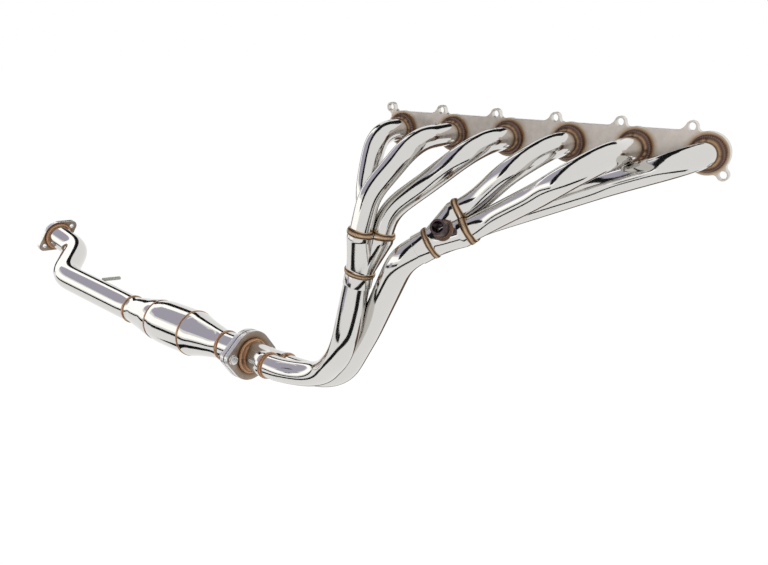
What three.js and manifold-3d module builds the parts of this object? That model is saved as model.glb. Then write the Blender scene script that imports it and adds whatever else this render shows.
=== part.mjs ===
// A racing exhaust system for a straight-six engine: a six-into-two-into-one header of polished
// stainless tube, bolted to a front pipe that carries a barrel-shaped catalytic converter and ends
// in a two-bolt flange. Millimetres, +Z up. The origin is the centre of the head flange's mating
// face, midway between ports 3 and 4. +X runs along the flange, +Y points into the cylinder head.
import * as THREE from "three";
import { mergeVertices } from "three/addons/utils/BufferGeometryUtils.js";
import Module from "manifold-3d";

const wasm = await Module();
wasm.setup();

// Fits shared by all pieces
const GAP = 0.35;
const SLIP_FIT = 0.8;
const OVERRUN = 5;

// Head flange
const PORT_COUNT = 6;
const PORT_PITCH = 103.6;
const FLANGE_THICKNESS = 10;
const FLANGE_TOP = 30;
const FLANGE_WAIST = 19;
const PORT_BOSS_RADIUS = 31;
const EAR_RADIUS = 8.8;
const EAR_FOOT_WIDTH = 30;
const EAR_FOOT_REACH = 18;
const STUD_HOLE_DIAMETER = 11.5;
const UPPER_STUD_OFFSET = 25.3;
const UPPER_STUD_HEIGHT = 36;
const LOWER_STUD_OFFSET = 23.8;
const LOWER_STUD_DROP = 28.5;
const TUBE_SETBACK = 3;

// Primary tubes: length out of the flange, the corner between the bends as measured from the
// collector's inlet, the straight run into the collector, and the bend radii
const PRIMARY_DIAMETER = 38.1;
const TUBE_WALL = 1.6;
const PRIMARY_INSERT = 12;
const REAR_PORT_BEND_RADIUS = 48;
const FRONT_PORT_BEND_RADIUS = 60;
const SHORT_PORT_BEND_RADIUS = 40;
const REAR_TUBE_BEND_RADIUS = 80;
const FRONT_TUBE_BEND_RADIUS = 90;
const REAR_BUNDLE_TURN = 133.8;
const FRONT_BUNDLE_TURN = 99.9;
const TUBE_1_OUT = 78.4;
const TUBE_1_CORNER_X = -14.6;
const TUBE_1_CORNER_Y = 9.3;
const TUBE_1_CORNER_Z = 60.2;
const TUBE_1_RUN_IN = 18.9;
const TUBE_2_OUT = 121.5;
const TUBE_2_CORNER_X = 48.5;
const TUBE_2_CORNER_Y = 4.3;
const TUBE_2_CORNER_Z = 113.7;
const TUBE_2_RUN_IN = 64.8;
const TUBE_3_OUT = 98.4;
const TUBE_3_CORNER_X = 97.9;
const TUBE_3_CORNER_Y = 32.1;
const TUBE_3_CORNER_Z = 88.8;
const TUBE_3_RUN_IN = 40.9;
const TUBE_4_OUT = 105.2;
const TUBE_4_CORNER_X = 59.2;
const TUBE_4_CORNER_Y = 2.3;
const TUBE_4_CORNER_Z = 80.6;
const TUBE_4_RUN_IN = 24.7;
const TUBE_5_OUT = 182.5;
const TUBE_5_CORNER_X = 139.8;
const TUBE_5_CORNER_Y = -32.6;
const TUBE_5_CORNER_Z = 70.6;
const TUBE_5_RUN_IN = 30.4;
const TUBE_6_OUT = 56.3;
const TUBE_6_CORNER_X = 194.7;
const TUBE_6_CORNER_Y = 66.5;
const TUBE_6_CORNER_Z = 73.5;
const TUBE_6_RUN_IN = 15.6;

// Three-into-one collectors: centre of the inlet, and of the outlet as measured from the inlet
const TUBES_PER_COLLECTOR = 3;
const BUNDLE_CLEARANCE = 0.6;
const COLLECTOR_OUTLET_DIAMETER = 50.8;
const COLLECTOR_LIP = 13;
const COLLECTOR_OUTLET_LIP = 6;
const SLEEVE_LENGTH = 24;
const REAR_INLET_X = -232.3;
const REAR_INLET_Y = -144.6;
const REAR_INLET_Z = -152.9;
const REAR_OUTLET_X = -19.1;
const REAR_OUTLET_Y = -2.9;
const REAR_OUTLET_Z = -75.4;
const FRONT_INLET_X = -64.5;
const FRONT_INLET_Y = -112.7;
const FRONT_INLET_Z = -125.1;
const FRONT_OUTLET_X = -50.5;
const FRONT_OUTLET_Y = -24.9;
const FRONT_OUTLET_Z = -33.8;

// Oxygen sensor bung on the front collector: heights are measured from the collector's axis
const BUNG_DIAMETER = 25;
const BUNG_BORE = 18;
const BUNG_TOP_HEIGHT = 59;
const BUNG_FOOT_HEIGHT = 31;
const BUNG_RISE = 0.25;
const BUNG_COLLAR_FOOT_HEIGHT = 20;
const BUNG_COLLAR_TOP_HEIGHT = 41;
const BUNG_WELD_WIDTH = 5;

// Secondary pipes: the knee is measured from the collector's outlet, the rear heel from the rear
// knee and the front heel from the merge collector's inlet
const SECONDARY_DIAMETER = 47.6;
const SECONDARY_BEND_RADIUS = 105;
const SECONDARY_EXIT_BEND_RADIUS = 64;
const SECONDARY_INSERT = 8;
const REAR_SECONDARY_RUN = 43;
const REAR_SECONDARY_KNEE_X = -33.6;
const REAR_SECONDARY_KNEE_Y = -10.5;
const REAR_SECONDARY_KNEE_Z = -154.7;
const REAR_SECONDARY_HEEL_X = -89;
const REAR_SECONDARY_HEEL_Y = 44;
const REAR_SECONDARY_HEEL_Z = -86;
const FRONT_SECONDARY_RUN = 54;
const FRONT_SECONDARY_KNEE_X = -156;
const FRONT_SECONDARY_KNEE_Y = 39.6;
const FRONT_SECONDARY_KNEE_Z = -196.1;
const FRONT_SECONDARY_HEEL_X = 129;
const FRONT_SECONDARY_HEEL_Y = 36.5;
const FRONT_SECONDARY_HEEL_Z = -12;

// Two-into-one merge collector, its inlet as measured from the rear heel
const MERGE_X = -120;
const MERGE_Y = 10;
const MERGE_Z = -11;
const MERGE_TILT = 18;
const MERGE_RUN_IN = 34;
const MERGE_INSERT = 10;
const MERGE_LIP = 12;
const MERGE_OUTLET_LIP = 12;

// Bolted joint as measured from the merge inlet, and the converter's end from the joint
const OUTLET_DIAMETER = 63.5;
const JOINT_X = -84;
const JOINT_Y = 10.5;
const JOINT_Z = -1.5;
const CONVERTER_END_X = -428;
const CONVERTER_END_Y = 32.5;
const CONVERTER_END_Z = 5;
const JOINT_FLANGE_THICKNESS = 10;
const JOINT_FLANGE_HEIGHT = 106;
const JOINT_BOLT_SPACING = 105;
const JOINT_EAR_RADIUS = 14.5;
const JOINT_TWIST = 8;
const JOINT_PIPE_INSERT = 6;
const GASKET_THICKNESS = 1.5;
const BOLT_DIAMETER = 10;
const BOLT_HOLE_DIAMETER = 11.2;
const BOLT_HEAD_WIDTH = 17;
const BOLT_HEAD_HEIGHT = 7;
const BOLT_COLLAR_DIAMETER = 20;
const BOLT_COLLAR_HEIGHT = 2;
const BOLT_TAIL = 5;
const NUT_HEIGHT = 9;

// Catalytic converter: lengths along the line from the joint's front face
const INLET_PIPE_LENGTH = 59;
const CONVERTER_DIAMETER = 101.6;
const CONVERTER_REAR_DIAMETER = 93;
const INLET_CONE_LENGTH = 110;
const SHELL_LENGTH = 129;
const SHELL_WALL = 1.5;
const MAT_THICKNESS = 5;
const MAT_SETBACK = 6.6;
const MAT_REAR_SETBACK = 26.4;
const SUBSTRATE_SETBACK = 3;

// Tail pipe: each corner is measured from the one before, the first from the converter's end
const TAIL_BEND_RADIUS = 75;
const TAIL_RUN_OUT = 18;
const TAIL_FIRST_BEND_X = -295;
const TAIL_FIRST_BEND_Y = 9;
const TAIL_FIRST_BEND_Z = 32.5;
const TAIL_SECOND_BEND_X = -86;
const TAIL_SECOND_BEND_Y = 104;
const TAIL_SECOND_BEND_Z = 32;
const TAIL_END_X = -94;
const TAIL_END_Y = 6;
const TAIL_END_Z = 23;
const TAIL_FLANGE_THICKNESS = 10;
const TAIL_FLANGE_HEIGHT = 84;
const TAIL_BOLT_SPACING = 93;
const TAIL_EAR_RADIUS = 15.5;
const TAIL_TWIST = -29;

// Hanger rod on the tail pipe
const HANGER_DIAMETER = 9;
const HANGER_LENGTH = 46;
const HANGER_FROM_CONVERTER = 168;
const HANGER_HEADING = 56;
const HANGER_SEAT = 29;
const HANGER_STANDOFF = 2.7;
const HANGER_TIP_RADIUS = 3.5;
const HANGER_TIP_SETBACK = 1.4;

// Weld beads
const BEAD_WIDTH = 7;
const BEAD_HEIGHT = 2.2;
const PORT_WELD_WIDTH = 8;
const PORT_WELD_HEIGHT = 9;
const SEAM_WIDTH = 4;
const SEAM_HEIGHT = 1.2;

// Facets
const PRIMARY_SIDES = 12;
const PIPE_SIDES = 14;
const BORE_SIDES = 8;
const ROUND_SIDES = 18;
const SMALL_SIDES = 10;
const LOBE_POINTS = 24;
const MERGE_POINTS = 30;
const BEAD_SIDES = 4;
const ARC_STEPS = 5;
const BEND_STEP = THREE.MathUtils.degToRad(18);
const WELD_TOLERANCE = 1e-3;
const FLAT_TOLERANCE = 0.1;

const steel = { color: 0xd9dadb, metalness: 1, roughness: 0.12 };
const satin = { color: 0xaaa6a0, metalness: 1, roughness: 0.4 };
const tint = { color: 0x6d4a38, metalness: 1, roughness: 0.45 };
const zinc = { color: 0xd4d8dc, metalness: 1, roughness: 0.3 };
const fibre = { color: 0x55534f, metalness: 0, roughness: 0.9 };
const ceramic = { color: 0xc9bda4, metalness: 0, roughness: 0.9 };

const exhaust = new THREE.Group();

const point = (x, y, z) => new THREE.Vector3(x, y, z);
const along = (from, direction, distance) => from.clone().addScaledVector(direction, distance);
const heading = (from, to) => to.clone().sub(from).normalize();
const radians = THREE.MathUtils.degToRad;
const portX = (number) => (number - (PORT_COUNT + 1) / 2) * PORT_PITCH;

function addMesh(name, geometry, finish) {
  const mesh = new THREE.Mesh(geometry, new THREE.MeshStandardMaterial(finish));
  mesh.name = name;
  exhaust.add(mesh);
  return mesh;
}

// A circle as a polygon: the flats of a bore touch its radius, the corners of a rod do
function polygon(radius, sides, bore = false) {
  const reach = bore ? radius / Math.cos(Math.PI / sides) : radius;
  const corners = [];
  for (let i = 0; i < sides; i++) {
    const angle = (i / sides) * 2 * Math.PI;
    corners.push(new THREE.Vector2(reach * Math.cos(angle), reach * Math.sin(angle)));
  }
  return corners;
}

function moved(points, x, y) {
  return points.map((p) => new THREE.Vector2(p.x + x, p.y + y));
}

function sectionOfTube(outer, inner, sides) {
  const shape = new THREE.Shape(polygon(outer, sides));
  if (inner) shape.holes.push(new THREE.Path(polygon(inner, BORE_SIDES)));
  return shape;
}

// A path through straight legs and bends, as stations that each hold a place and a direction
class BentPath extends THREE.Curve {
  constructor(corners, radii) {
    super();
    this.places = [corners[0]];
    this.directions = [heading(corners[0], corners[1])];
    for (let i = 1; i < corners.length - 1; i++) this.addBend(corners.slice(i - 1, i + 2), radii[i - 1]);
    this.places.push(corners.at(-1));
    this.directions.push(heading(corners.at(-2), corners.at(-1)));
    this.steps = this.places.length - 1;
  }

  addBend([before, corner, after], radius) {
    const arriving = heading(before, corner);
    const leaving = heading(corner, after);
    const turn = arriving.angleTo(leaving);
    const axis = arriving.clone().cross(leaving).normalize();
    const start = along(corner, arriving, -radius * Math.tan(turn / 2));
    const centre = along(start, axis.clone().cross(arriving), radius);
    const steps = Math.max(1, Math.ceil(turn / BEND_STEP));
    for (let i = 0; i <= steps; i++) {
      const angle = (i / steps) * turn;
      this.places.push(start.clone().sub(centre).applyAxisAngle(axis, angle).add(centre));
      this.directions.push(arriving.clone().applyAxisAngle(axis, angle));
    }
  }

  getPointAt(share) {
    return this.places[Math.round(share * this.steps)].clone();
  }

  getTangentAt(share) {
    return this.directions[Math.round(share * this.steps)].clone();
  }
}

function tubeAlong(corners, radii, outer, inner, sides) {
  const path = new BentPath(corners, radii);
  return new THREE.ExtrudeGeometry(sectionOfTube(outer, inner, sides), {
    extrudePath: path,
    steps: path.steps,
    bevelEnabled: false,
  });
}

// A revolved piece whose profile runs along an axis: each profile point is [radius, distance]
function revolved(profile, origin, direction, sides) {
  const points = profile.map(([radius, distance]) => new THREE.Vector2(radius, distance));
  const geometry = new THREE.LatheGeometry([...points, points[0].clone()], sides);
  const turn = new THREE.Quaternion().setFromUnitVectors(point(0, 1, 0), direction);
  return geometry.applyQuaternion(turn).translate(origin.x, origin.y, origin.z);
}

// A rounded bead of weld round a pipe, centred on a place of its axis
const BEAD_SHARES = [0, 0.5, 1];
function bead(radius, width, height, centre, direction) {
  return seam((radius + GAP) / Math.cos(Math.PI / ROUND_SIDES), width, height, centre, direction);
}

// A bead whose facets lie on those of the revolved shell under it
function seam(bottom, width, height, centre, direction) {
  const profile = [];
  for (const share of BEAD_SHARES) {
    const angle = share * Math.PI;
    profile.push([bottom + height * Math.sin(angle), (-width / 2) * Math.cos(angle)]);
  }
  return revolved(profile, centre, direction, ROUND_SIDES);
}

function solid(geometry) {
  const bare = geometry.index ? geometry.toNonIndexed() : geometry.clone();
  bare.deleteAttribute("normal");
  bare.deleteAttribute("uv");
  const merged = mergeVertices(bare, WELD_TOLERANCE);
  return new wasm.Manifold(
    new wasm.Mesh({
      numProp: 3,
      vertProperties: merged.attributes.position.array,
      triVerts: new Uint32Array(merged.index.array),
    }),
  );
}

function geometryOf(manifold) {
  const mesh = manifold.getMesh();
  const geometry = new THREE.BufferGeometry();
  geometry.setAttribute("position", new THREE.BufferAttribute(mesh.vertProperties, 3));
  geometry.setIndex(new THREE.BufferAttribute(mesh.triVerts, 1));
  geometry.computeVertexNormals();
  return geometry;
}

// The places that the other pieces follow
const from = (place, x, y, z) => place.clone().add(point(x, y, z));
const rearInlet = point(REAR_INLET_X, REAR_INLET_Y, REAR_INLET_Z);
const rearOutlet = from(rearInlet, REAR_OUTLET_X, REAR_OUTLET_Y, REAR_OUTLET_Z);
const frontInlet = point(FRONT_INLET_X, FRONT_INLET_Y, FRONT_INLET_Z);
const frontOutlet = from(frontInlet, FRONT_OUTLET_X, FRONT_OUTLET_Y, FRONT_OUTLET_Z);
const rearKnee = from(
  rearOutlet, REAR_SECONDARY_KNEE_X, REAR_SECONDARY_KNEE_Y, REAR_SECONDARY_KNEE_Z,
);
const rearHeel = from(
  rearKnee, REAR_SECONDARY_HEEL_X, REAR_SECONDARY_HEEL_Y, REAR_SECONDARY_HEEL_Z,
);
const mergeInlet = from(rearHeel, MERGE_X, MERGE_Y, MERGE_Z);
const frontKnee = from(
  frontOutlet, FRONT_SECONDARY_KNEE_X, FRONT_SECONDARY_KNEE_Y, FRONT_SECONDARY_KNEE_Z,
);
const frontHeel = from(
  mergeInlet, FRONT_SECONDARY_HEEL_X, FRONT_SECONDARY_HEEL_Y, FRONT_SECONDARY_HEEL_Z,
);
const joint = from(mergeInlet, JOINT_X, JOINT_Y, JOINT_Z);
const converterEnd = from(joint, CONVERTER_END_X, CONVERTER_END_Y, CONVERTER_END_Z);
const tailFirst = from(converterEnd, TAIL_FIRST_BEND_X, TAIL_FIRST_BEND_Y, TAIL_FIRST_BEND_Z);
const tailSecond = from(tailFirst, TAIL_SECOND_BEND_X, TAIL_SECOND_BEND_Y, TAIL_SECOND_BEND_Z);
const tailEnd = from(tailSecond, TAIL_END_X, TAIL_END_Y, TAIL_END_Z);
const line = heading(joint, converterEnd);
const primaryRadius = PRIMARY_DIAMETER / 2;
const secondaryRadius = SECONDARY_DIAMETER / 2;
const outletRadius = OUTLET_DIAMETER / 2;

// Two directions across an axis: level, and the one that completes them
function across(axis) {
  const level = point(0, 0, 1).cross(axis).normalize();
  return [level, axis.clone().cross(level)];
}

function onCircle(centre, axis, radius, angle) {
  const [level, rising] = across(axis);
  return along(along(centre, level, radius * Math.cos(angle)), rising, radius * Math.sin(angle));
}

// Head flange: a plate with a round boss at each port and an ear at each stud
function headFlange() {
  const plate = new THREE.Shape();
  const end = portX(PORT_COUNT);
  plate.moveTo(-end, FLANGE_TOP);
  plate.lineTo(-end, -FLANGE_WAIST);
  plate.lineTo(end, -FLANGE_WAIST);
  plate.lineTo(end, FLANGE_TOP);
  const disc = (x, z, radius, sides) => new THREE.Shape(moved(polygon(radius, sides), x, z));
  const slab = (shape, start, depth) =>
    solid(new THREE.ExtrudeGeometry(shape, { depth, bevelEnabled: false }).translate(0, 0, start));
  let body = slab(plate, 0, FLANGE_THICKNESS);
  for (let port = 1; port <= PORT_COUNT; port++) {
    const x = portX(port);
    body = body.add(slab(disc(x, 0, PORT_BOSS_RADIUS, ROUND_SIDES), 0, FLANGE_THICKNESS));
    body = body.add(slab(ear(x, -UPPER_STUD_OFFSET, UPPER_STUD_HEIGHT), 0, FLANGE_THICKNESS));
    body = body.add(slab(ear(x, LOWER_STUD_OFFSET, -LOWER_STUD_DROP), 0, FLANGE_THICKNESS));
    if (port > 1) body = body.add(slab(gusset(x - UPPER_STUD_OFFSET), 0, FLANGE_THICKNESS));
  }
  const depth = FLANGE_THICKNESS + 2 * OVERRUN;
  for (let port = 1; port <= PORT_COUNT; port++) {
    const x = portX(port);
    const bore = polygon(primaryRadius + GAP, ROUND_SIDES, true);
    body = body.subtract(slab(new THREE.Shape(moved(bore, x, 0)), -OVERRUN, depth));
    const stud = polygon(STUD_HOLE_DIAMETER / 2, BORE_SIDES, true);
    const upper = new THREE.Shape(moved(stud, x - UPPER_STUD_OFFSET, UPPER_STUD_HEIGHT));
    const lower = new THREE.Shape(moved(stud, x + LOWER_STUD_OFFSET, -LOWER_STUD_DROP));
    body = body.subtract(slab(upper, -OVERRUN, depth)).subtract(slab(lower, -OVERRUN, depth));
  }
  return geometryOf(body.asOriginal().simplify(FLAT_TOLERANCE)).rotateX(Math.PI / 2);
}

// An ear: a round end round a stud, on a foot that widens towards the port's centre
function ear(x, across, up) {
  const reach = Math.hypot(across, up);
  const [outX, outY] = [across / reach, up / reach];
  const shape = new THREE.Shape();
  const corner = (out, side) => [x + outX * out - outY * side, outY * out + outX * side];
  shape.moveTo(...corner(EAR_FOOT_REACH, EAR_FOOT_WIDTH / 2));
  shape.lineTo(...corner(EAR_FOOT_REACH, -EAR_FOOT_WIDTH / 2));
  for (let i = 0; i <= SMALL_SIDES / 2; i++) {
    const angle = (i / (SMALL_SIDES / 2)) * Math.PI;
    shape.lineTo(...corner(reach + EAR_RADIUS * Math.sin(angle), -EAR_RADIUS * Math.cos(angle)));
  }
  return shape;
}

// The slope that carries an upper ear's outer side down to the plate's top edge
function gusset(x) {
  const shape = new THREE.Shape();
  shape.moveTo(x, FLANGE_TOP - EAR_RADIUS);
  shape.lineTo(x, UPPER_STUD_HEIGHT + EAR_RADIUS / 2);
  shape.lineTo(x - EAR_RADIUS, UPPER_STUD_HEIGHT);
  shape.lineTo(x - 2 * EAR_RADIUS, FLANGE_TOP);
  shape.lineTo(x - 2 * EAR_RADIUS, FLANGE_TOP - EAR_RADIUS);
  return shape;
}

addMesh("head_flange", headFlange(), satin);

// Primary tubes: each leaves its port square, and three of them lie together in a collector
const bundleRadius = (PRIMARY_DIAMETER + BUNDLE_CLEARANCE) / Math.sqrt(3);
const rearAxis = heading(rearInlet, rearOutlet);
const frontAxis = heading(frontInlet, frontOutlet);
const rearTurn = radians(REAR_BUNDLE_TURN);
const frontTurn = radians(FRONT_BUNDLE_TURN);

function addPrimaryTube(number, out, corner, runIn, portBend, bend, inlet, axis, turn) {
  const start = point(portX(number), -TUBE_SETBACK, 0);
  const place = (number - 1) % TUBES_PER_COLLECTOR;
  const angle = turn - (place / TUBES_PER_COLLECTOR) * 2 * Math.PI;
  const end = onCircle(inlet, axis, bundleRadius, angle);
  const corners = [
    start,
    point(portX(number), -FLANGE_THICKNESS - out, 0),
    corner,
    along(end, axis, -runIn),
    along(end, axis, PRIMARY_INSERT),
  ];
  const radii = [portBend, bend, bend];
  const inner = primaryRadius - TUBE_WALL;
  const tube = tubeAlong(corners, radii, primaryRadius, inner, PRIMARY_SIDES);
  addMesh(`primary_tube_${number}`, tube, steel);
}

const rearTubes = [
  [1, TUBE_1_OUT, from(rearInlet, TUBE_1_CORNER_X, TUBE_1_CORNER_Y, TUBE_1_CORNER_Z), TUBE_1_RUN_IN],
  [2, TUBE_2_OUT, from(rearInlet, TUBE_2_CORNER_X, TUBE_2_CORNER_Y, TUBE_2_CORNER_Z), TUBE_2_RUN_IN],
  [3, TUBE_3_OUT, from(rearInlet, TUBE_3_CORNER_X, TUBE_3_CORNER_Y, TUBE_3_CORNER_Z), TUBE_3_RUN_IN],
];
for (const [number, out, corner, runIn] of rearTubes) {
  const portBend = number === 1 ? FRONT_PORT_BEND_RADIUS : REAR_PORT_BEND_RADIUS;
  addPrimaryTube(
    number, out, corner, runIn, portBend, REAR_TUBE_BEND_RADIUS, rearInlet, rearAxis, rearTurn,
  );
}
const frontTubes = [
  [4, TUBE_4_OUT, from(frontInlet, TUBE_4_CORNER_X, TUBE_4_CORNER_Y, TUBE_4_CORNER_Z), TUBE_4_RUN_IN],
  [5, TUBE_5_OUT, from(frontInlet, TUBE_5_CORNER_X, TUBE_5_CORNER_Y, TUBE_5_CORNER_Z), TUBE_5_RUN_IN],
  [6, TUBE_6_OUT, from(frontInlet, TUBE_6_CORNER_X, TUBE_6_CORNER_Y, TUBE_6_CORNER_Z), TUBE_6_RUN_IN],
];
for (const [number, out, corner, runIn] of frontTubes) {
  const portBend = number === PORT_COUNT ? SHORT_PORT_BEND_RADIUS : FRONT_PORT_BEND_RADIUS;
  addPrimaryTube(
    number, out, corner, runIn, portBend, FRONT_TUBE_BEND_RADIUS, frontInlet, frontAxis, frontTurn,
  );
}

// Fillet welds between the head flange and the tubes
const PORT_WELD_SHARES = [[0, 1], [0, 0], [1, 0], [0.8, 0.38], [0.22, 1]];
for (let port = 1; port <= PORT_COUNT; port++) {
  const foot = (primaryRadius + GAP) / Math.cos(Math.PI / ROUND_SIDES);
  const profile = PORT_WELD_SHARES.map(([out, up]) => [
    foot + PORT_WELD_WIDTH * out,
    PORT_WELD_HEIGHT * up,
  ]);
  const base = point(portX(port), -FLANGE_THICKNESS - GAP, 0);
  addMesh(`port_weld_${port}`, revolved(profile, base, point(0, -1, 0), ROUND_SIDES), tint);
}

// The outline round a bundle of equal tubes, as a radius at an angle. It lies part of the way
// from the tubes' own outline to the straight hull round them, so that it dips between lobes.
function lobedRadius(angle, count, ring, tube, dip) {
  const sector = (2 * Math.PI) / count;
  const off = Math.abs(((((angle % sector) + sector) % sector) + sector / 2) % sector - sector / 2);
  const side = ring * Math.sin(off);
  const own = ring * Math.cos(off) + Math.sqrt(Math.max(tube * tube - side * side, 0));
  const touch = Math.atan2(tube * Math.sin(sector / 2), ring + tube * Math.cos(sector / 2));
  const flat = (ring * Math.cos(sector / 2) + tube) / Math.cos(sector / 2 - off);
  const hull = off < touch ? own : flat;
  return dip * own + (1 - dip) * hull;
}

// A hollow loft along an axis: each station is a distance and the outer and inner radius by angle
function loft(origin, axis, turn, points, stations) {
  const corners = [];
  const faces = [];
  const count = points;
  const ringAt = (distance, radius) => {
    for (let i = 0; i < count; i++) {
      const angle = (i / count) * 2 * Math.PI;
      const place = onCircle(along(origin, axis, distance), axis, radius(angle), angle + turn);
      corners.push(place.x, place.y, place.z);
    }
  };
  for (const [distance, outer] of stations) ringAt(distance, outer);
  for (const [distance, , inner] of [...stations].reverse()) ringAt(distance, inner);
  const rings = 2 * stations.length;
  for (let ring = 0; ring < rings; ring++) {
    const next = (ring + 1) % rings;
    for (let i = 0; i < count; i++) {
      const j = (i + 1) % count;
      const [a, b, c, d] = [ring * count + i, ring * count + j, next * count + j, next * count + i];
      faces.push(a, b, c, a, c, d);
    }
  }
  const geometry = new THREE.BufferGeometry();
  geometry.setAttribute("position", new THREE.Float32BufferAttribute(corners, 3));
  geometry.setIndex(faces);
  geometry.computeVertexNormals();
  return geometry;
}

const TAPER_SHARES = [0, 0.3, 0.7, 1];
const LOBE_DIP_SHARE = 0.45;
const blend = (a, b, share) => a + (b - a) * share;

// Taper from a lobed mouth to a round outlet, eased at both ends
function taperStations(length, lips, mouth, outletOuter, outletInner, mouthWall) {
  const stations = [[0, mouth(mouthWall), mouth(0)]];
  for (const share of TAPER_SHARES) {
    const eased = THREE.MathUtils.smoothstep(share, 0, 1);
    stations.push([
      blend(lips[0], length - lips[1], share),
      (angle) => blend(mouth(mouthWall)(angle), outletOuter, eased),
      (angle) => blend(mouth(0)(angle), outletInner, eased),
    ]);
  }
  stations.push([length, () => outletOuter, () => outletInner]);
  return stations;
}

const collectorOuter = COLLECTOR_OUTLET_DIAMETER / 2;
const collectorInner = collectorOuter - TUBE_WALL;
const collectorMouth = (grow) => (angle) =>
  lobedRadius(angle, TUBES_PER_COLLECTOR, bundleRadius, primaryRadius + SLIP_FIT + grow, LOBE_DIP_SHARE);

function collector(inlet, outlet, turn) {
  const stations = taperStations(
    inlet.distanceTo(outlet), [COLLECTOR_LIP, COLLECTOR_OUTLET_LIP], collectorMouth,
    collectorOuter, collectorInner, TUBE_WALL,
  );
  return loft(inlet, heading(inlet, outlet), turn, LOBE_POINTS, stations);
}

// A closed bead that follows a lobed outline just ahead of a collector's mouth
function mouthBead(inlet, axis, turn, mouth, points) {
  const radius = BEAD_HEIGHT;
  const sides = BEAD_SIDES;
  const corners = [];
  const faces = [];
  const back = -(radius + GAP);
  for (let i = 0; i < points; i++) {
    const angle = (i / points) * 2 * Math.PI;
    for (let j = 0; j < sides; j++) {
      const lift = (j / sides) * 2 * Math.PI;
      const reach = mouth(radius)(angle) + radius * Math.cos(lift);
      const centre = along(inlet, axis, back + radius * Math.sin(lift));
      const place = onCircle(centre, axis, reach, angle + turn);
      corners.push(place.x, place.y, place.z);
    }
  }
  for (let i = 0; i < points; i++) {
    const n = (i + 1) % points;
    for (let j = 0; j < sides; j++) {
      const k = (j + 1) % sides;
      const [a, b, c, d] = [i * sides + j, n * sides + j, n * sides + k, i * sides + k];
      faces.push(a, b, c, a, c, d);
    }
  }
  const geometry = new THREE.BufferGeometry();
  geometry.setAttribute("position", new THREE.Float32BufferAttribute(corners, 3));
  geometry.setIndex(faces);
  geometry.computeVertexNormals();
  return geometry;
}

// Rear collector of tubes 1 to 3
addMesh("rear_collector", collector(rearInlet, rearOutlet, rearTurn), steel);

// Front collector of tubes 4 to 6, with the hole for the sensor bung
const frontLength = frontInlet.distanceTo(frontOutlet);
const bungRoot = along(frontInlet, frontAxis, frontLength / 2);
const outboard = point(0, -1, BUNG_RISE);
const bungAxis = outboard.addScaledVector(frontAxis, -outboard.dot(frontAxis)).normalize();
const bungHole = revolved(
  [
    [0, 0],
    [BUNG_DIAMETER / 2 + GAP, 0],
    [BUNG_DIAMETER / 2 + GAP, BUNG_TOP_HEIGHT],
    [0, BUNG_TOP_HEIGHT],
  ],
  bungRoot, bungAxis, ROUND_SIDES,
);
const frontCollectorWall = solid(collector(frontInlet, frontOutlet, frontTurn));
addMesh("front_collector", geometryOf(frontCollectorWall.subtract(solid(bungHole))), steel);

// Sensor bung, and the weld that is cut to the collector's own surface
const bungFoot = (BUNG_DIAMETER / 2) * Math.cos(Math.PI / ROUND_SIDES);
const bungProfile = [
  [BUNG_BORE / 2, BUNG_FOOT_HEIGHT],
  [bungFoot, BUNG_FOOT_HEIGHT],
  [bungFoot, BUNG_TOP_HEIGHT],
  [BUNG_BORE / 2, BUNG_TOP_HEIGHT],
];
addMesh("oxygen_sensor_bung", revolved(bungProfile, bungRoot, bungAxis, ROUND_SIDES), tint);

const collarFoot = (BUNG_DIAMETER / 2 + GAP) / Math.cos(Math.PI / ROUND_SIDES);
const collarProfile = [
  [collarFoot, BUNG_COLLAR_FOOT_HEIGHT],
  [collarFoot + BUNG_WELD_WIDTH, BUNG_COLLAR_FOOT_HEIGHT],
  [collarFoot + BUNG_WELD_WIDTH, BUNG_COLLAR_TOP_HEIGHT - BUNG_WELD_WIDTH],
  [collarFoot + BUNG_WELD_WIDTH / 2, BUNG_COLLAR_TOP_HEIGHT],
  [collarFoot, BUNG_COLLAR_TOP_HEIGHT],
];
const collarStations = taperStations(
  frontLength, [COLLECTOR_LIP, COLLECTOR_OUTLET_LIP], collectorMouth,
  collectorOuter + GAP, GAP, TUBE_WALL + GAP,
).map(([distance, outer]) => [distance, outer, () => GAP]);
const collarCut = solid(loft(frontInlet, frontAxis, frontTurn, LOBE_POINTS, collarStations));
const collar = solid(revolved(collarProfile, bungRoot, bungAxis, ROUND_SIDES));
addMesh("sensor_bung_weld", geometryOf(collar.subtract(collarCut)), tint);

addMesh(
  "rear_collector_inlet_weld",
  mouthBead(rearInlet, rearAxis, rearTurn, collectorMouth, LOBE_POINTS),
  tint,
);
addMesh(
  "front_collector_inlet_weld",
  mouthBead(frontInlet, frontAxis, frontTurn, collectorMouth, LOBE_POINTS),
  tint,
);

// Slip sleeves below the collectors, with the weld that joins each to its collector
function sleeve(outlet, axis) {
  const end = along(outlet, axis, GAP + SLEEVE_LENGTH);
  const inner = secondaryRadius + GAP;
  const profile = [
    [inner / Math.cos(Math.PI / ROUND_SIDES), 0],
    [collectorOuter, 0],
    [collectorOuter, SLEEVE_LENGTH],
    [inner / Math.cos(Math.PI / ROUND_SIDES), SLEEVE_LENGTH],
  ];
  return revolved(profile, along(end, axis, -SLEEVE_LENGTH), axis, ROUND_SIDES);
}
for (const [place, outlet, axis] of [["rear", rearOutlet, rearAxis], ["front", frontOutlet, frontAxis]]) {
  addMesh(`${place}_slip_sleeve`, sleeve(outlet, axis), steel);
  const weld = bead(collectorOuter, BEAD_WIDTH, BEAD_HEIGHT, outlet, axis);
  addMesh(`${place}_collector_outlet_weld`, weld, tint);
}

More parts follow.
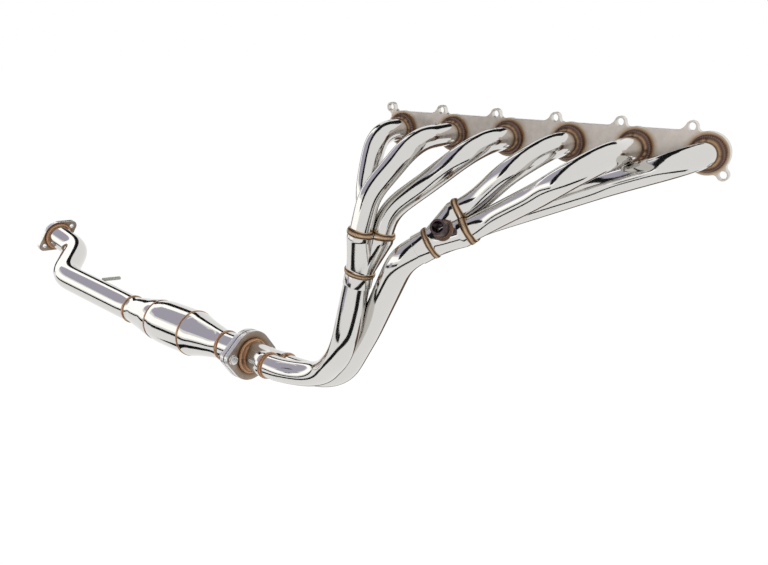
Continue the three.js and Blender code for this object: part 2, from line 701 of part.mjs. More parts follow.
// Merge collector: the two secondary pipes side by side run into one round outlet
const mergeAxis = heading(mergeInlet, joint);
const mergeTurn = radians(MERGE_TILT);
const mergeRing = secondaryRadius + SLIP_FIT;
const mergeMouth = (grow) => (angle) =>
  lobedRadius(angle, 2, mergeRing, secondaryRadius + SLIP_FIT + grow, LOBE_DIP_SHARE);
const mergeLength = mergeInlet.distanceTo(joint) - GAP;
const mergeStations = taperStations(
  mergeLength, [MERGE_LIP, MERGE_OUTLET_LIP], mergeMouth,
  outletRadius, outletRadius - TUBE_WALL, TUBE_WALL,
);
addMesh("merge_collector", loft(mergeInlet, mergeAxis, mergeTurn, MERGE_POINTS, mergeStations), steel);
addMesh(
  "merge_collector_inlet_weld",
  mouthBead(mergeInlet, mergeAxis, mergeTurn, mergeMouth, MERGE_POINTS),
  tint,
);

// Secondary pipes
function secondary(outlet, axis, run, knee, heel, angle) {
  const end = onCircle(mergeInlet, mergeAxis, mergeRing, mergeTurn + angle);
  const corners = [
    along(outlet, axis, SECONDARY_INSERT),
    along(outlet, axis, run),
    knee,
    heel,
    along(end, mergeAxis, -MERGE_RUN_IN),
    along(end, mergeAxis, MERGE_INSERT),
  ];
  const radii = [
    SECONDARY_EXIT_BEND_RADIUS, SECONDARY_BEND_RADIUS, SECONDARY_BEND_RADIUS, SECONDARY_BEND_RADIUS,
  ];
  return tubeAlong(corners, radii, secondaryRadius, secondaryRadius - TUBE_WALL, PIPE_SIDES);
}
addMesh(
  "rear_secondary_pipe",
  secondary(rearOutlet, rearAxis, REAR_SECONDARY_RUN, rearKnee, rearHeel, 0),
  steel,
);
addMesh(
  "front_secondary_pipe",
  secondary(frontOutlet, frontAxis, FRONT_SECONDARY_RUN, frontKnee, frontHeel, Math.PI),
  steel,
);

// A two-bolt flange: a round middle and two ears, joined by tangents
function twoBoltShape(height, spacing, earRadius, bore) {
  const middle = height / 2;
  const reach = spacing / 2;
  const lean = Math.acos((middle - earRadius) / reach);
  const shape = new THREE.Shape();
  const arc = (x, radius, from, to) => {
    for (let i = 0; i <= ARC_STEPS; i++) {
      const angle = blend(from, to, i / ARC_STEPS);
      const corner = [x + radius * Math.cos(angle), radius * Math.sin(angle)];
      if (shape.curves.length || shape.currentPoint.lengthSq()) shape.lineTo(...corner);
      else shape.moveTo(...corner);
    }
  };
  arc(reach, earRadius, -lean, lean);
  arc(0, middle, lean, Math.PI - lean);
  arc(-reach, earRadius, Math.PI - lean, Math.PI + lean);
  arc(0, middle, Math.PI + lean, 2 * Math.PI - lean);
  shape.holes.push(new THREE.Path(polygon(bore, ROUND_SIDES, true)));
  for (const x of [-reach, reach]) {
    shape.holes.push(new THREE.Path(moved(polygon(BOLT_HOLE_DIAMETER / 2, SMALL_SIDES, true), x, 0)));
  }
  return shape;
}

// Places a flat plate square to an axis, its long side level and then turned by a twist
function placeAcross(geometry, origin, axis, twist) {
  const [level, rising] = across(axis);
  const basis = new THREE.Matrix4().makeBasis(level, rising, axis).setPosition(origin);
  return geometry.rotateZ(twist).applyMatrix4(basis);
}

function flange(shape, depth, origin, axis, twist) {
  return placeAcross(new THREE.ExtrudeGeometry(shape, { depth, bevelEnabled: false }), origin, axis, twist);
}

// Bolted joint: header flange, gasket and converter flange on one axis
const jointShape = twoBoltShape(
  JOINT_FLANGE_HEIGHT, JOINT_BOLT_SPACING, JOINT_EAR_RADIUS, outletRadius + GAP,
);
const jointTwist = radians(JOINT_TWIST);
const gasketStart = along(joint, line, JOINT_FLANGE_THICKNESS + GAP);
const converterFlangeStart = along(gasketStart, line, GASKET_THICKNESS + GAP);
const converterFlangeEnd = along(converterFlangeStart, line, JOINT_FLANGE_THICKNESS);
addMesh(
  "header_outlet_flange",
  flange(jointShape, JOINT_FLANGE_THICKNESS, joint, line, jointTwist),
  satin,
);
addMesh("flange_gasket", flange(jointShape, GASKET_THICKNESS, gasketStart, line, jointTwist), fibre);
addMesh(
  "converter_inlet_flange",
  flange(jointShape, JOINT_FLANGE_THICKNESS, converterFlangeStart, line, jointTwist),
  satin,
);

// Hexagon bolts and nuts that clamp the joint, one pair in each ear
const hexagon = new THREE.Shape(polygon(BOLT_HEAD_WIDTH / Math.sqrt(3), 6));
const [jointLevel, jointRising] = across(line);
const earDirection = jointLevel.clone().multiplyScalar(Math.cos(jointTwist));
earDirection.addScaledVector(jointRising, Math.sin(jointTwist));
const clamped = joint.distanceTo(converterFlangeEnd);

function hexBolt(seat) {
  const shank = new THREE.Shape(polygon(BOLT_DIAMETER / 2, SMALL_SIDES));
  const collar = new THREE.Shape(polygon(BOLT_COLLAR_DIAMETER / 2, PIPE_SIDES));
  const extrude = (shape, depth) => new THREE.ExtrudeGeometry(shape, { depth, bevelEnabled: false });
  const head = solid(extrude(hexagon, BOLT_HEAD_HEIGHT).translate(0, 0, -BOLT_HEAD_HEIGHT));
  const flare = solid(extrude(collar, BOLT_COLLAR_HEIGHT).translate(0, 0, -BOLT_COLLAR_HEIGHT));
  const length = clamped + 2 * GAP + NUT_HEIGHT + BOLT_TAIL + BOLT_COLLAR_HEIGHT;
  const rod = solid(extrude(shank, length).translate(0, 0, -BOLT_COLLAR_HEIGHT));
  return placeAcross(geometryOf(head.add(flare).add(rod)), seat, line, 0);
}

function hexNut(seat) {
  const shape = hexagon.clone();
  shape.holes.push(new THREE.Path(polygon(BOLT_DIAMETER / 2 + GAP, SMALL_SIDES, true)));
  return flange(shape, NUT_HEIGHT, seat, line, 0);
}

for (const [number, side] of [[1, -1], [2, 1]]) {
  const ear = along(joint, earDirection, (side * JOINT_BOLT_SPACING) / 2);
  addMesh(`flange_bolt_${number}`, hexBolt(along(ear, line, -GAP)), zinc);
  addMesh(`flange_nut_${number}`, hexNut(along(ear, line, clamped + GAP)), zinc);
}

// Fillet weld in the corner between a pipe and a flange's face
const FLANGE_WELD_SHARES = [[0, 1], [0, 0], [1, 0], [0.65, 0.65]];
function flangeBead(radius, face, axis) {
  const foot = (radius + GAP) / Math.cos(Math.PI / ROUND_SIDES);
  const profile = FLANGE_WELD_SHARES.map(([out, up]) => [foot + BEAD_WIDTH * out, BEAD_WIDTH * up]);
  return revolved(profile, along(face, axis, GAP), axis, ROUND_SIDES);
}
const upstream = line.clone().negate();
addMesh("header_flange_weld", flangeBead(outletRadius + GAP, joint, upstream), tint);

// Short pipe from the joint into the converter's inlet cone
const lineAt = (distance) => along(joint, line, distance);
const pipeStart = joint.distanceTo(converterFlangeStart) + JOINT_FLANGE_THICKNESS - JOINT_PIPE_INSERT;
const coneStart = joint.distanceTo(converterFlangeEnd) + INLET_PIPE_LENGTH;
const shellStart = coneStart + INLET_CONE_LENGTH;
const shellEnd = shellStart + SHELL_LENGTH;
const coneEnd = joint.distanceTo(converterEnd);
const pipeBore = outletRadius - TUBE_WALL;
const hollow = (outer, inner, length) => [[inner, 0], [outer, 0], [outer, length], [inner, length]];
const inletPipe = hollow(outletRadius, pipeBore, coneStart - pipeStart - GAP);
addMesh("converter_inlet_pipe", revolved(inletPipe, lineAt(pipeStart), line, ROUND_SIDES), steel);
addMesh(
  "converter_flange_weld",
  flangeBead(outletRadius, converterFlangeEnd, line),
  tint,
);
addMesh(
  "converter_inlet_weld",
  bead(outletRadius, BEAD_WIDTH, BEAD_HEIGHT, lineAt(coneStart), line),
  tint,
);

// Converter: two pressed cones and a barrel shell round a mat that holds the substrate
const shellRadius = CONVERTER_DIAMETER / 2;
const rearRadius = CONVERTER_REAR_DIAMETER / 2;
const INLET_CONE_SHARES = [[0, 0], [0.06, 0], [0.35, 0.24], [0.7, 0.64], [0.92, 0.95], [1, 1]];
const SHELL_SHARES = [[0, 1], [0.35, 1], [0.7, 0.93], [0.86, 0.62], [1, 0]];
const OUTLET_CONE_SHARES = [[0, 1], [0.14, 0.93], [0.4, 0.6], [0.7, 0.24], [0.92, 0], [1, 0]];

// The rise that a table of shares gives at a share of the run
function riseAt(shares, run) {
  const next = shares.findIndex(([place]) => place >= run);
  const [[lowRun, low], [highRun, high]] = [shares[next - 1], shares[next]];
  return blend(low, high, (run - lowRun) / (highRun - lowRun));
}

// A thin shell whose radius runs from small to large by a table of shares
function pressedShell(shares, small, large, length, wall, start) {
  const outer = shares.map(([run, rise]) => [blend(small, large, rise), run * length]);
  const inner = outer.map(([radius, distance]) => [radius - wall, distance]).reverse();
  return revolved([...outer, ...inner], lineAt(start), line, ROUND_SIDES);
}
addMesh(
  "converter_inlet_cone",
  pressedShell(
    INLET_CONE_SHARES, outletRadius, shellRadius, INLET_CONE_LENGTH - GAP, SHELL_WALL, coneStart,
  ),
  steel,
);
addMesh(
  "converter_shell",
  pressedShell(SHELL_SHARES, rearRadius, shellRadius, SHELL_LENGTH - GAP, SHELL_WALL, shellStart),
  steel,
);
addMesh(
  "converter_outlet_cone",
  pressedShell(
    OUTLET_CONE_SHARES, outletRadius, rearRadius, coneEnd - shellEnd - GAP, SHELL_WALL, shellEnd,
  ),
  steel,
);
addMesh(
  "converter_inlet_seam",
  seam(shellRadius + GAP, SEAM_WIDTH, SEAM_HEIGHT, lineAt(shellStart), line),
  tint,
);
addMesh(
  "converter_outlet_seam",
  seam(rearRadius + 2 * GAP, SEAM_WIDTH, SEAM_HEIGHT, lineAt(shellEnd), line),
  tint,
);
addMesh(
  "converter_outlet_weld",
  bead(outletRadius, BEAD_WIDTH, BEAD_HEIGHT, lineAt(coneEnd), line),
  tint,
);
const matStart = shellStart + MAT_SETBACK;
const matLength = SHELL_LENGTH - MAT_SETBACK - MAT_REAR_SETBACK;
const matRise = riseAt(SHELL_SHARES, (MAT_SETBACK + matLength) / SHELL_LENGTH);
const matRadius = blend(rearRadius, shellRadius, matRise) - SHELL_WALL - GAP;
const matBore = matRadius - MAT_THICKNESS;
const substrateStart = matStart + SUBSTRATE_SETBACK;
const substrateLength = matLength - 2 * SUBSTRATE_SETBACK;
const mat = hollow(matRadius, matBore / Math.cos(Math.PI / ROUND_SIDES), matLength);
const substrate = hollow(matBore - GAP, 0, substrateLength);
addMesh("catalyst_support_mat", revolved(mat, lineAt(matStart), line, ROUND_SIDES), fibre);
addMesh("catalyst_substrate", revolved(substrate, lineAt(substrateStart), line, ROUND_SIDES), ceramic);

// Tail pipe with its jog, its flange and its hanger
const tailStart = lineAt(coneEnd + GAP);
const tailHeading = heading(tailSecond, tailEnd);
const tailKink = along(tailStart, line, TAIL_RUN_OUT);
const tailCorners = [
  tailStart,
  tailKink,
  tailFirst,
  tailSecond,
  along(tailEnd, tailHeading, JOINT_PIPE_INSERT),
];
const tailRadii = [TAIL_BEND_RADIUS, TAIL_BEND_RADIUS, TAIL_BEND_RADIUS];
addMesh(
  "tail_pipe",
  tubeAlong(tailCorners, tailRadii, outletRadius, pipeBore, PIPE_SIDES),
  steel,
);
const tailShape = twoBoltShape(
  TAIL_FLANGE_HEIGHT, TAIL_BOLT_SPACING, TAIL_EAR_RADIUS, outletRadius + GAP,
);
addMesh(
  "tail_flange",
  flange(tailShape, TAIL_FLANGE_THICKNESS, tailEnd, tailHeading, radians(TAIL_TWIST)),
  satin,
);
addMesh("tail_flange_weld", flangeBead(outletRadius, tailEnd, tailHeading.clone().negate()), tint);

const tailRun = heading(tailStart, tailFirst);
const hangerHeading = point(Math.cos(radians(HANGER_HEADING)), Math.sin(radians(HANGER_HEADING)), 0);
const hangerSeat = point(0, Math.cos(radians(HANGER_SEAT)), Math.sin(radians(HANGER_SEAT)));
const hangerFoot = along(tailStart, tailRun, HANGER_FROM_CONVERTER);
const hangerStart = along(hangerFoot, hangerSeat, outletRadius + HANGER_STANDOFF);
const hangerProfile = [
  [0, 0],
  [HANGER_DIAMETER / 2, 0],
  [HANGER_DIAMETER / 2, HANGER_LENGTH - HANGER_DIAMETER / 2],
  [HANGER_TIP_RADIUS, HANGER_LENGTH - HANGER_TIP_SETBACK],
  [0, HANGER_LENGTH],
];
addMesh("hanger_rod", revolved(hangerProfile, hangerStart, hangerHeading, SMALL_SIDES), steel);

export default exhaust;
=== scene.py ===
import math

import bpy
import numpy as np
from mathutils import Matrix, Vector


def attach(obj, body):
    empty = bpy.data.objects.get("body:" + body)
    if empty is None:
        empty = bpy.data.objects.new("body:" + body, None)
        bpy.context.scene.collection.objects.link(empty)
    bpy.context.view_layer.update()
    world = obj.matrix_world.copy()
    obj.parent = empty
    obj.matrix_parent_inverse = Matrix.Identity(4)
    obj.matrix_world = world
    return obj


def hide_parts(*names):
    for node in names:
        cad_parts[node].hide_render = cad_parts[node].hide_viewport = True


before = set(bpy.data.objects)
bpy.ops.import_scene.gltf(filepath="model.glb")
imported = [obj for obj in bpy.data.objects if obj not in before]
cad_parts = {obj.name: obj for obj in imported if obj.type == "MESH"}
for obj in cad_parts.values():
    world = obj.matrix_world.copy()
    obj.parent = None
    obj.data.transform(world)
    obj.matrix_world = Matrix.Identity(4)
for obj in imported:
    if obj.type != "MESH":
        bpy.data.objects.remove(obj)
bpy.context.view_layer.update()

# Lengths are in millimetres and in the CAD model's frame until a mesh is made.
MM = 0.001
TURN = 2 * math.pi

# Head flange
PORT_PITCH = 103.6
PORTS = 6
FLANGE_THICKNESS = 10
FLANGE_TOP = 30
FLANGE_WAIST = 19
BOSS_RADIUS = 31
EAR_RADIUS = 8.4
EDGE_FILLET = 7
EAR_SWEEP = 16
UPPER_STUD = (-25.3, 36)
LOWER_STUD = (23.8, -28.5)
STUD_HOLE = 5.75
TUBE_SETBACK = 3

# Pipes
TUBE_RADIUS = 19.05
SECOND_RADIUS = 23.8
PIPE_RADIUS = 31.75
WALL = 1.6
INLET = {"rear": (-232.3, -144.6, -152.9), "front": (-64.5, -112.7, -125.1)}
OUTLET = {"rear": (-251.4, -147.5, -228.3), "front": (-115, -137.6, -158.9)}
BUNDLE_TURN = {"rear": 133.8, "front": 99.9}
# Length out of the port, corner, run into the collector, bend at the port, other bends
TUBES = {
    1: (78.4, (-246.9, -135.3, -92.7), 18.9, 60, 80),
    2: (121.5, (-183.8, -140.3, -39.2), 64.8, 48, 80),
    3: (98.4, (-134.4, -112.5, -64.1), 40.9, 48, 80),
    4: (105.2, (-5.3, -110.4, -44.5), 24.7, 60, 90),
    5: (182.5, (75.3, -145.3, -54.5), 30.4, 60, 90),
    6: (56.3, (130.2, -46.2, -51.6), 15.6, 40, 90),
}
# Length out of the collector, knee, heel, side of the merge collector in degrees
SECONDS = {
    "rear": (43, (-285, -158, -383), (-374, -114, -469), 0),
    "front": (54, (-271, -98, -355), (-365, -67.5, -492), 180),
}
MERGE = (-494, -104, -480)
MERGE_TILT = 18
JOINT = (-578, -93.5, -481.5)
CONVERTER_END = (-1006, -61, -476.5)
TAIL = ((-1301, -52, -444), (-1387, 52, -412), (-1481, 58, -389))
# Space between pieces that touch, and round the tubes in a collector's mouth
GAP = 0.35
SLIP = 0.8
COLLECTOR_RADIUS = 25.4
COLLECTOR_LIPS = (13, 6)
MERGE_LIPS = (12, 12)
SLEEVE_LENGTH = 24
LOBE_DIP = 0.45
TUBE_INSERT = 12
TAIL_RUN_OUT = 18
TAIL_INSERT = 6
TAIL_BENDS = (75, 75, 75)
INLET_PIPE_SETBACK = 4
SECOND_BENDS = (64, 105, 105, 105)
SECOND_SETBACK = 8
SECOND_RUN_IN = 34
SECOND_INSERT = 10

# Two-bolt flanges: height, spacing of the bolts, radius of the ears, thickness
JOINT_FLANGE = (106, 105, 14.5, 10)
GASKET = (106, 105, 14.5, 1.5)
JOINT_TWIST = 8
TAIL_FLANGE = (84, 93, 15.5, 10)
TAIL_TWIST = -29

# Converter, hanger and bung
CONVERTER_RADIUS = 50.8
CONVERTER_REAR_RADIUS = 46.5
INLET_PIPE_LENGTH = 59
INLET_CONE_LENGTH = 110
SHELL_LENGTH = 129
INLET_CONE_SHARES = [(0, 0), (0.06, 0), (0.35, 0.24), (0.7, 0.64), (0.92, 0.95), (1, 1)]
SHELL_SHARES = [(0, 1), (0.35, 1), (0.7, 0.93), (0.86, 0.62), (1, 0)]
OUTLET_CONE_SHARES = [(0, 1), (0.14, 0.93), (0.4, 0.6), (0.7, 0.24), (0.92, 0), (1, 0)]
SHELL_WALL = 1.5
HANGER_RADIUS = 4.5
HANGER_LENGTH = 46
HANGER_TIP = 3
HANGER_FROM_CONVERTER = 168
HANGER_LIFT = 2.7
HANGER_SEAT_TURN = 29
HANGER_HEADING = 56
BUNG_RADIUS = 12.5
BUNG_BORE = 9
BUNG_HEIGHTS = (31, 59)

# Bolts and nuts of the joint
HOLE_RADIUS = 5.6
HEX_HALF = 8.5
HEAD_DEPTH = 7
CROWN_RADIUS = 5.5
WASHER_DEPTH = 2
WASHER_RADIUS = 10
SHANK_RADIUS = 5
THREAD_RADIUS = 4.75
THREAD_DEPTH = 0.22
THREAD_PITCH = 1.25
THREAD_STEP = 0.35
TIP_RADIUS = 4
NUT_DEPTH = 9
NUT_BORE = 5.3
NUT_FACE = 8.2
NUT_TURN = 0.3
BOLT_END = 5

# Beads: width and height, or on a flange the reach over it and the reach along the pipe
PORT_BEAD = (7.6, 9)
MOUTH_BEAD = (12, 1.8)
COLLECTOR_BEAD = (10, 1.8)
FLANGE_BEAD = (6.5, 6.5)

# How finely the pieces are drawn
BEND_STEP = 3.0
LEG_STEP = 5.0
EASE_STEP = 3.0
EASE_PASSES = 36
HEX_SIDES = 96
RING_SIDES = 440
MOUTH_SIDES = 720
MERGE_SIDES = 180


def vec(point):
    return np.asarray(point, float)


def unit(v):
    v = vec(v)
    return v / np.linalg.norm(v, axis=-1, keepdims=True)


def across(axis):
    level = unit(np.cross((0, 0, 1), axis))
    return level, np.cross(axis, level)


def turned(v, axis, angle):
    c, s = math.cos(angle), math.sin(angle)
    return v * c + np.cross(axis, v) * s + axis * (axis @ v) * (1 - c)


def around(centre, axis, radius, angle):
    """Points on a circle across the axis, for arrays of radius and angle."""
    level, rising = across(axis)
    radius, angle = np.broadcast_arrays(vec(radius), vec(angle))
    return vec(centre) + radius[..., None] * (
        np.cos(angle)[..., None] * level + np.sin(angle)[..., None] * rising
    )


def angles(count):
    return np.arange(count) / count * TURN


def smooth(share):
    share = np.clip(share, 0, 1)
    return share * share * (3 - 2 * share)


def distances(places):
    """How far along a line each of its places is."""
    legs = np.linalg.norm(np.diff(places, axis=0), axis=1)
    return np.concatenate([[0], np.cumsum(legs)])


def route(corners, radii):
    """Places and ways along straight legs joined by bends."""
    corners = vec(corners)
    places, ways = [corners[0]], [unit(corners[1] - corners[0])]

    def straight_to(end):
        start = places[-1]
        count = max(1, math.ceil(np.linalg.norm(end - start) / LEG_STEP))
        for i in range(1, count + 1):
            places.append(start + (end - start) * i / count)
            ways.append(ways[-1])

    for i, radius in enumerate(radii, 1):
        arriving = unit(corners[i] - corners[i - 1])
        leaving = unit(corners[i + 1] - corners[i])
        turn = math.acos(np.clip(arriving @ leaving, -1, 1))
        axis = unit(np.cross(arriving, leaving))
        start = corners[i] - arriving * radius * math.tan(turn / 2)
        centre = start + np.cross(axis, arriving) * radius
        straight_to(start)
        count = max(2, math.ceil(math.degrees(turn) / BEND_STEP))
        for k in range(1, count + 1):
            angle = turn * k / count
            places.append(centre + turned(start - centre, axis, angle))
            ways.append(turned(arriving, axis, angle))
    straight_to(corners[-1])
    return np.array(places), np.array(ways)


def softened(places, ways):
    """The same line at even steps, with its curvature eased where a bend starts and ends."""
    run = distances(places)
    at = np.linspace(0, run[-1], math.ceil(run[-1] / EASE_STEP) + 1)
    places = np.stack([np.interp(at, run, column) for column in places.T], 1)
    for _ in range(EASE_PASSES):
        places[1:-1] = (places[:-2] + 2 * places[1:-1] + places[2:]) / 4
    made = unit(np.gradient(places, axis=0))
    made[0], made[-1] = ways[0], ways[-1]
    return places, made


def frames_along(ways):
    side = unit(np.cross(ways[0], (0.3, 0.2, 1.0)))
    sides = []
    for way in ways:
        side = unit(side - way * (side @ way))
        sides.append(side)
    sides = np.array(sides)
    return sides, np.cross(ways, sides)


# Meshes
def linked(name, data):
    """A new object of the scene."""
    made = bpy.data.objects.new(name, data)
    bpy.context.scene.collection.objects.link(made)
    return made


def show(mesh, nodes, material, sharp=35):
    """Links a finished mesh as a piece of the same name that stands for CAD nodes."""
    mesh.shade_smooth()
    mesh.set_sharp_from_angle(angle=math.radians(sharp))
    piece = linked(mesh.name, mesh)
    mesh.materials.clear()
    mesh.materials.append(material)
    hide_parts(*nodes)
    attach(piece, "root")


def show_steel(mesh, node_name, material, sharp=35):
    show(mesh, [node_name], material, sharp)


def show_weld(mesh, node_name, material):
    show(mesh, [node_name], material, 70)


def give(mesh, attributes):
    """Adds float or vector attributes to the points of a mesh."""
    for key, values in attributes.items():
        values = vec(values)
        kind, field = ("FLOAT", "value") if values.ndim == 1 else ("FLOAT_VECTOR", "vector")
        layer = mesh.attributes.new(key, kind, "POINT")
        layer.data.foreach_set(field, values.astype(np.float32).ravel())


def build(name, points, faces, attributes):
    """A mesh with its faces outward and its float or vector attributes."""
    points = vec(points)
    corners = np.array([f if len(f) == 4 else (*f, f[2]) for f in faces])
    a, b, c, d = (points[corners[:, i]] for i in range(4))
    volume = np.einsum("ij,ij->", a, np.cross(b, c)) + np.einsum("ij,ij->", a, np.cross(c, d))
    if volume < 0:
        faces = [f[::-1] for f in faces]
    mesh = bpy.data.meshes.new(name)
    mesh.from_pydata((points * MM).tolist(), [], faces)
    give(mesh, attributes)
    return mesh


def grid(name, points, closed=True, **attributes):
    """A surface from rows of points whose columns wrap. Rows wrap too, or end in fans."""
    points = vec(points)
    rows, cols = points.shape[:2]
    flat = points.reshape(-1, 3)
    index = np.arange(rows * cols).reshape(rows, cols)
    near = index if closed else index[:-1]
    far = np.roll(index, -1, 0) if closed else index[1:]
    quads = np.stack([near, np.roll(near, -1, 1), np.roll(far, -1, 1), far], -1)
    faces = [tuple(f) for f in quads.reshape(-1, 4).tolist()]
    values = {}
    for key, value in attributes.items():
        value = vec(value)
        tail = value.shape[2:]
        values[key] = np.broadcast_to(value, (rows, cols, *tail)).reshape(rows * cols, *tail)
    if not closed:
        for row, turn in ((0, -1), (rows - 1, 1)):
            hub = len(flat)
            flat = np.concatenate([flat, points[row].mean(0)[None]])
            ring = index[row].tolist()
            for i in range(cols):
                fan = (ring[i], ring[(i + 1) % cols], hub)
                faces.append(fan[::turn])
            values = {k: np.concatenate([v, v[ring[:1]]]) for k, v in values.items()}
    return build(name, flat, faces, values)


def ring_profile(inner, outer, low, high, corner):
    """The cut through a ring, with its corners rounded."""
    points = vec([(inner, low), (outer, low), (outer, high), (inner, high)])
    made = []
    for i, here in enumerate(points):
        start = here + unit(points[i - 1] - here) * corner
        end = here + unit(points[(i + 1) % 4] - here) * corner
        for t in (0, 1 / 3, 2 / 3, 1):
            made.append(start * (1 - t) ** 2 + 2 * here * t * (1 - t) + end * t * t)
    return made


def heat_and_shade_at(distance, welds, spread):
    """How strongly the metal is tinted at a distance along, given the welds' places. It also gives the
    reach of the painted shade between tubes.
    """
    distance = vec(distance)
    heat = np.zeros_like(distance)
    for place in welds:
        heat = np.maximum(heat, np.exp(-np.abs(distance - place) / spread))
    return heat


PIPE_RIM = 0.4
# How far the painted shade on the tubes' inner sides reaches from a collector
CROTCH_SHADE_SPREAD = 45


def rolled(turn, radius, distance):
    """Where points lie round and along their own pipe, which the polishing streaks follow."""
    level = np.full(np.shape(turn), distance)
    return np.stack([np.cos(turn) * radius, np.sin(turn) * radius, level], -1)


def pipe(name, corners, radii, outer, sides, welds, inward=None):
    """A bent tube with its bore and softened rims. Welds are (place, spread of the tint).

    Inward is the way to a bundle's middle. Near the weld the last weld's heat tint is real; its
    farther reach there is painted shade between the tubes.
    """
    places, ways = softened(*route(corners, radii))
    run = distances(places)
    sides_at, up_at = frames_along(ways)
    last = len(run) - 1
    rows = [(0, 0, outer - PIPE_RIM), (0, PIPE_RIM, outer)]
    rows += [(i, 0, outer) for i in range(1, last)]
    rows += [(last, -PIPE_RIM, outer), (last, 0, outer - PIPE_RIM), (last, 0, outer - WALL)]
    rows += [(i, 0, outer - WALL) for i in range(last - 1, 0, -1)]
    rows += [(0, 0, outer - WALL)]
    turn = angles(sides)
    points, heat, roll = [], [], []
    for i, shift, radius in rows:
        spoke = np.cos(turn)[:, None] * sides_at[i] + np.sin(turn)[:, None] * up_at[i]
        points.append(places[i] + ways[i] * shift + spoke * radius)
        distance = run[i] + shift
        tints = [heat_and_shade_at(distance, [w % run[-1]], spread) for w, spread in welds]
        heat.append(np.full(sides, max(tints)))
        if inward is not None:
            # Painted shade: the heat colours carried on over the sides that face the other tubes
            painted_shade = heat_and_shade_at(distance, [welds[-1][0] % run[-1]], CROTCH_SHADE_SPREAD)
            heat[-1] = np.maximum(heat[-1], painted_shade * smooth(0.3 + 1.5 * spoke @ inward))
        roll.append(rolled(turn, radius, distance))
    return grid(name, points, heat=np.array(heat), roll=np.array(roll))


def turned_piece(name, profile, origin, axis, sides=96, closed=True, welds=(), spread=8.0):
    """A revolved mesh from (radius, distance) pairs. The radius may differ round the axis."""
    turn = angles(sides)
    points, roll = [], []
    for radius, distance in profile:
        points.append(around(vec(origin) + axis * distance, axis, radius, turn))
        roll.append(rolled(turn, radius, distance))
    heat = heat_and_shade_at([distance for _, distance in profile], welds, spread)[:, None]
    return grid(name, points, closed, heat=heat, roll=np.array(roll))


RIPPLE_PITCH = 2.3
RIPPLE_BOW = 2.2
WIDTH_WAVES = [(0.05, 5, 0), (0.03, 13, 1)]
BEAD_SINK = 1.2
BEAD_SEAT = 0.1


def weld(name, bases, outs, alongs, profile, ripple):
    """A rippled bead round a closed loop. The profile lists (across, out) from foot to foot."""
    bases, outs, profile = vec(bases), vec(outs), vec(profile)
    alongs = np.broadcast_to(alongs, outs.shape)
    middle = bases.mean(1) if bases.ndim == 3 else bases
    length = np.linalg.norm(np.diff(middle, axis=0, append=middle[:1]), axis=1).sum()
    run = np.arange(len(middle)) / len(middle) * TURN
    share = np.linspace(-1, 1, len(profile))
    dome = 1 - share**2
    crest = np.cos(round(length / RIPPLE_PITCH) * run[:, None] + RIPPLE_BOW * dome)
    width = 1 + sum(size * np.sin(waves * run + start) for size, waves, start in WIDTH_WAVES)
    wide = profile[:, 0] * width[:, None]
    lift = profile[:, 1] * (1 + ripple * crest * dome)
    if bases.ndim == 2:
        bases = np.repeat(bases[:, None], len(profile), 1)
    points = bases + wide[..., None] * alongs[:, None] + lift[..., None] * outs[:, None]
    sunk = points[:, [-1, 0]] - BEAD_SINK * outs[:, None]
    points = np.concatenate([points, sunk], 1)
    foot = np.ones((len(points), 1))
    bead = np.concatenate([np.broadcast_to(share, crest.shape), foot, -foot], 1)
    crest = np.concatenate([crest, 0 * foot, 0 * foot], 1)
    return grid(name, points, bead=bead, crest=crest)


def dome_profile(width, height, count=9):
    share = np.linspace(-1, 1, count)
    return [(s * width / 2, height * max(0, 1 - s * s) ** 0.6) for s in share]


def ring_weld(name, centre, axis, radius, profile, ripple=0.1):
    """A bead round a pipe."""
    spokes = around((0, 0, 0), axis, 1, angles(RING_SIDES))
    bases = vec(centre) + spokes * (radius - BEAD_SEAT)
    return weld(name, bases, spokes, axis, profile, ripple)


def corner_weld(name, centre, axis, width, height, radius=PIPE_RADIUS, ripple=0.12):
    """A fillet between a pipe and the flange face that the axis leaves."""
    share = np.linspace(0, 1, 9) * math.pi / 2
    profile = [(height * math.cos(s) ** 0.85, width * math.sin(s) ** 0.85) for s in share]
    return ring_weld(name, centre, axis, radius, profile, ripple)


def plate(name, outline, holes, thickness, bevel, basis, origin):
    """A flat plate from 2D loops with bevelled edges. Its depth runs along the third axis.

    Its attributes are the place on the flat face, and 1 on the edges.
    """
    curve = bpy.data.curves.new(name, "CURVE")
    curve.dimensions = "2D"
    curve.fill_mode = "BOTH"
    curve.extrude = thickness / 2 - bevel
    curve.bevel_depth = bevel
    curve.bevel_resolution = 2
    curve.offset = -bevel
    for loop in (outline, *holes):
        spline = curve.splines.new("POLY")
        spline.points.add(len(loop) - 1)
        spline.use_cyclic_u = True
        for point, (x, y) in zip(spline.points, loop):
            point.co = (x, y, 0, 1)
    holder = linked(name, curve)
    bpy.context.view_layer.update()
    graph = bpy.context.evaluated_depsgraph_get()
    mesh = bpy.data.meshes.new_from_object(holder.evaluated_get(graph))
    bpy.data.objects.remove(holder)
    mesh.name = name
    places = np.zeros(len(mesh.vertices) * 3)
    mesh.vertices.foreach_get("co", places)
    places = places.reshape(-1, 3)
    places[:, 2] += thickness / 2
    flat = places * (1, 1, 0)
    rim = (places[:, 2] > 0.01) & (places[:, 2] < thickness - 0.01)
    placed = vec(origin) + places @ vec(basis)
    mesh.vertices.foreach_set("co", (placed * MM).ravel())
    give(mesh, {"rim": rim, "flat": flat})
    mesh.update()
    return mesh


def circle(x, y, radius, count=40):
    """A hole's edge, which runs clockwise."""
    return [(x + radius * math.cos(a), y - radius * math.sin(a)) for a in angles(count)]


